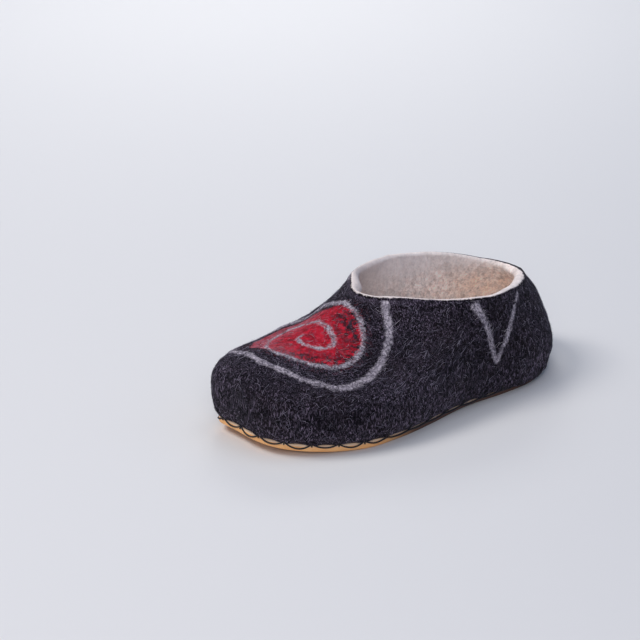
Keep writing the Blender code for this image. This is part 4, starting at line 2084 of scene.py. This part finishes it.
@dataclass
class Studio:
    """A plain floor, soft lights and the camera at the photo's angle and distance."""

    camera_place: Point = (1.3118, -1.0962, 0.7815)
    camera_faces: Point = (-0.72464, 0.56765, -0.39073)
    focal_px: float = 2833.0
    frame_px: float = 640.0
    sensor_mm: float = 36.0
    clip_start: float = 0.05
    clip_end: float = 50.0
    floor_size: float = 12.0
    room: Colour = (0.29, 0.48, 1.0)
    room_strength: float = 0.235
    softboxes: tuple[Softbox, ...] = (
        Softbox("key", (-0.55, -1.12, 1.74), (0.0, 0.0, 0.03), 0.8, 22.0, (1.0, 0.975, 0.965)),
        Softbox("top", (0.1, 0.1, 2.1), (0.0, 0.0, 0.03), 1.4, 9.8, (1.0, 0.985, 0.985)),
        Softbox("front", (1.70, -1.35, 1.40), (0.0, 0.0, 0.03), 1.2, 19.6, (1.0, 0.965, 0.95)),
        Softbox("right", (1.3, 1.2, 1.5), (0.0, 0.0, 0.03), 1.2, 2.2, (0.55, 0.72, 1.0)),
        Softbox("back", (-0.95, 0.60, 0.8), (-0.95, 0.60, 0.0), 0.6, 5.2, (1.0, 1.0, 1.0)),
    )

    def build(self) -> None:
        """Sets the stage."""
        self.camera()
        self.floor()
        self.world()
        for softbox in self.softboxes:
            self.light(softbox)
        bpy.context.scene.view_settings.view_transform = "Standard"

    def camera(self) -> None:
        """Places the camera, whose focal length is the photo's in pixels times the sensor's pixel size."""
        data = bpy.data.cameras.new("camera")
        data.sensor_width = self.sensor_mm
        data.lens = data.sensor_width * self.focal_px / self.frame_px
        data.clip_start = self.clip_start
        data.clip_end = self.clip_end
        camera = bpy.data.objects.new("camera", data)
        camera.location = self.camera_place
        camera.rotation_euler = Vector(self.camera_faces).to_track_quat("-Z", "Y").to_euler()
        bpy.context.scene.collection.objects.link(camera)
        bpy.context.scene.camera = camera

    def floor(self) -> None:
        """Lays a square floor under the sole."""
        half = self.floor_size / 2
        corners = np.array([[-half, -half, 0], [half, -half, 0], [half, half, 0], [-half, half, 0]])
        floor = make_piece("floor", corners, np.array([[0, 1, 2, 3]]), PlainFloor().material())

    def world(self) -> None:
        """Even light from all round."""
        world = bpy.data.worlds.new("soft_room")
        world.use_nodes = True
        background = world.node_tree.nodes["Background"]
        background.inputs["Color"].default_value = (*self.room, 1.0)
        background.inputs["Strength"].default_value = self.room_strength
        bpy.context.scene.world = world

    def light(self, box: Softbox) -> None:
        """Hangs a softbox, facing the place it aims at."""
        data = bpy.data.lights.new(box.name, "AREA")
        data.size = box.size
        data.energy = box.power
        data.color = box.colour
        lamp = bpy.data.objects.new(box.name, data)
        lamp.location = box.place
        lamp.rotation_euler = (Vector(box.aim) - Vector(box.place)).to_track_quat("-Z", "Y").to_euler()
        bpy.context.scene.collection.objects.link(lamp)


def corners(box: tuple[Vector, Vector]) -> list[list[float]]:
    """A box's two corners as plain lists of numbers."""
    return [[float(value) for value in corner] for corner in box]


def main() -> None:
    """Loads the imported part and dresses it, piece by piece."""
    logging.basicConfig(level=logging.INFO, format="%(name)s %(message)s")
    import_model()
    Studio().build()
    groups = Groups()
    last = Last()
    stitching = Stitching(last)
    shell_felt = ShellFelt(groups).material()
    skin, lining, fields = Upper(last).build(Ornament(), stitching.holes(), shell_felt)
    Outsole(last).build(stitching, SoleLeather(groups))
    Footbed(last).build(shell_felt)
    stitching.build(skin, WaxedThread())
    fibres = Fibres(skin, fields, lining, LooseWool().material())
    fibres.build("long_fibres", count=5200, length_mm=(3.0, 7.0), width_mm=0.19, rise_mm=0.3)
    fibres.build("short_fibres", count=7000, length_mm=(1.5, 4.0), width_mm=0.18, rise_mm=0.25)
    fibres.stand("shell_fuzz", skin, count=9000, length_mm=(0.5, 1.6), width_mm=0.07, wool=None)
    fibres.stand("lining_fuzz", lining, count=5000, length_mm=(0.5, 1.5), width_mm=0.08, wool=Wool.CREAM)


if __name__ == "__main__":
    main()
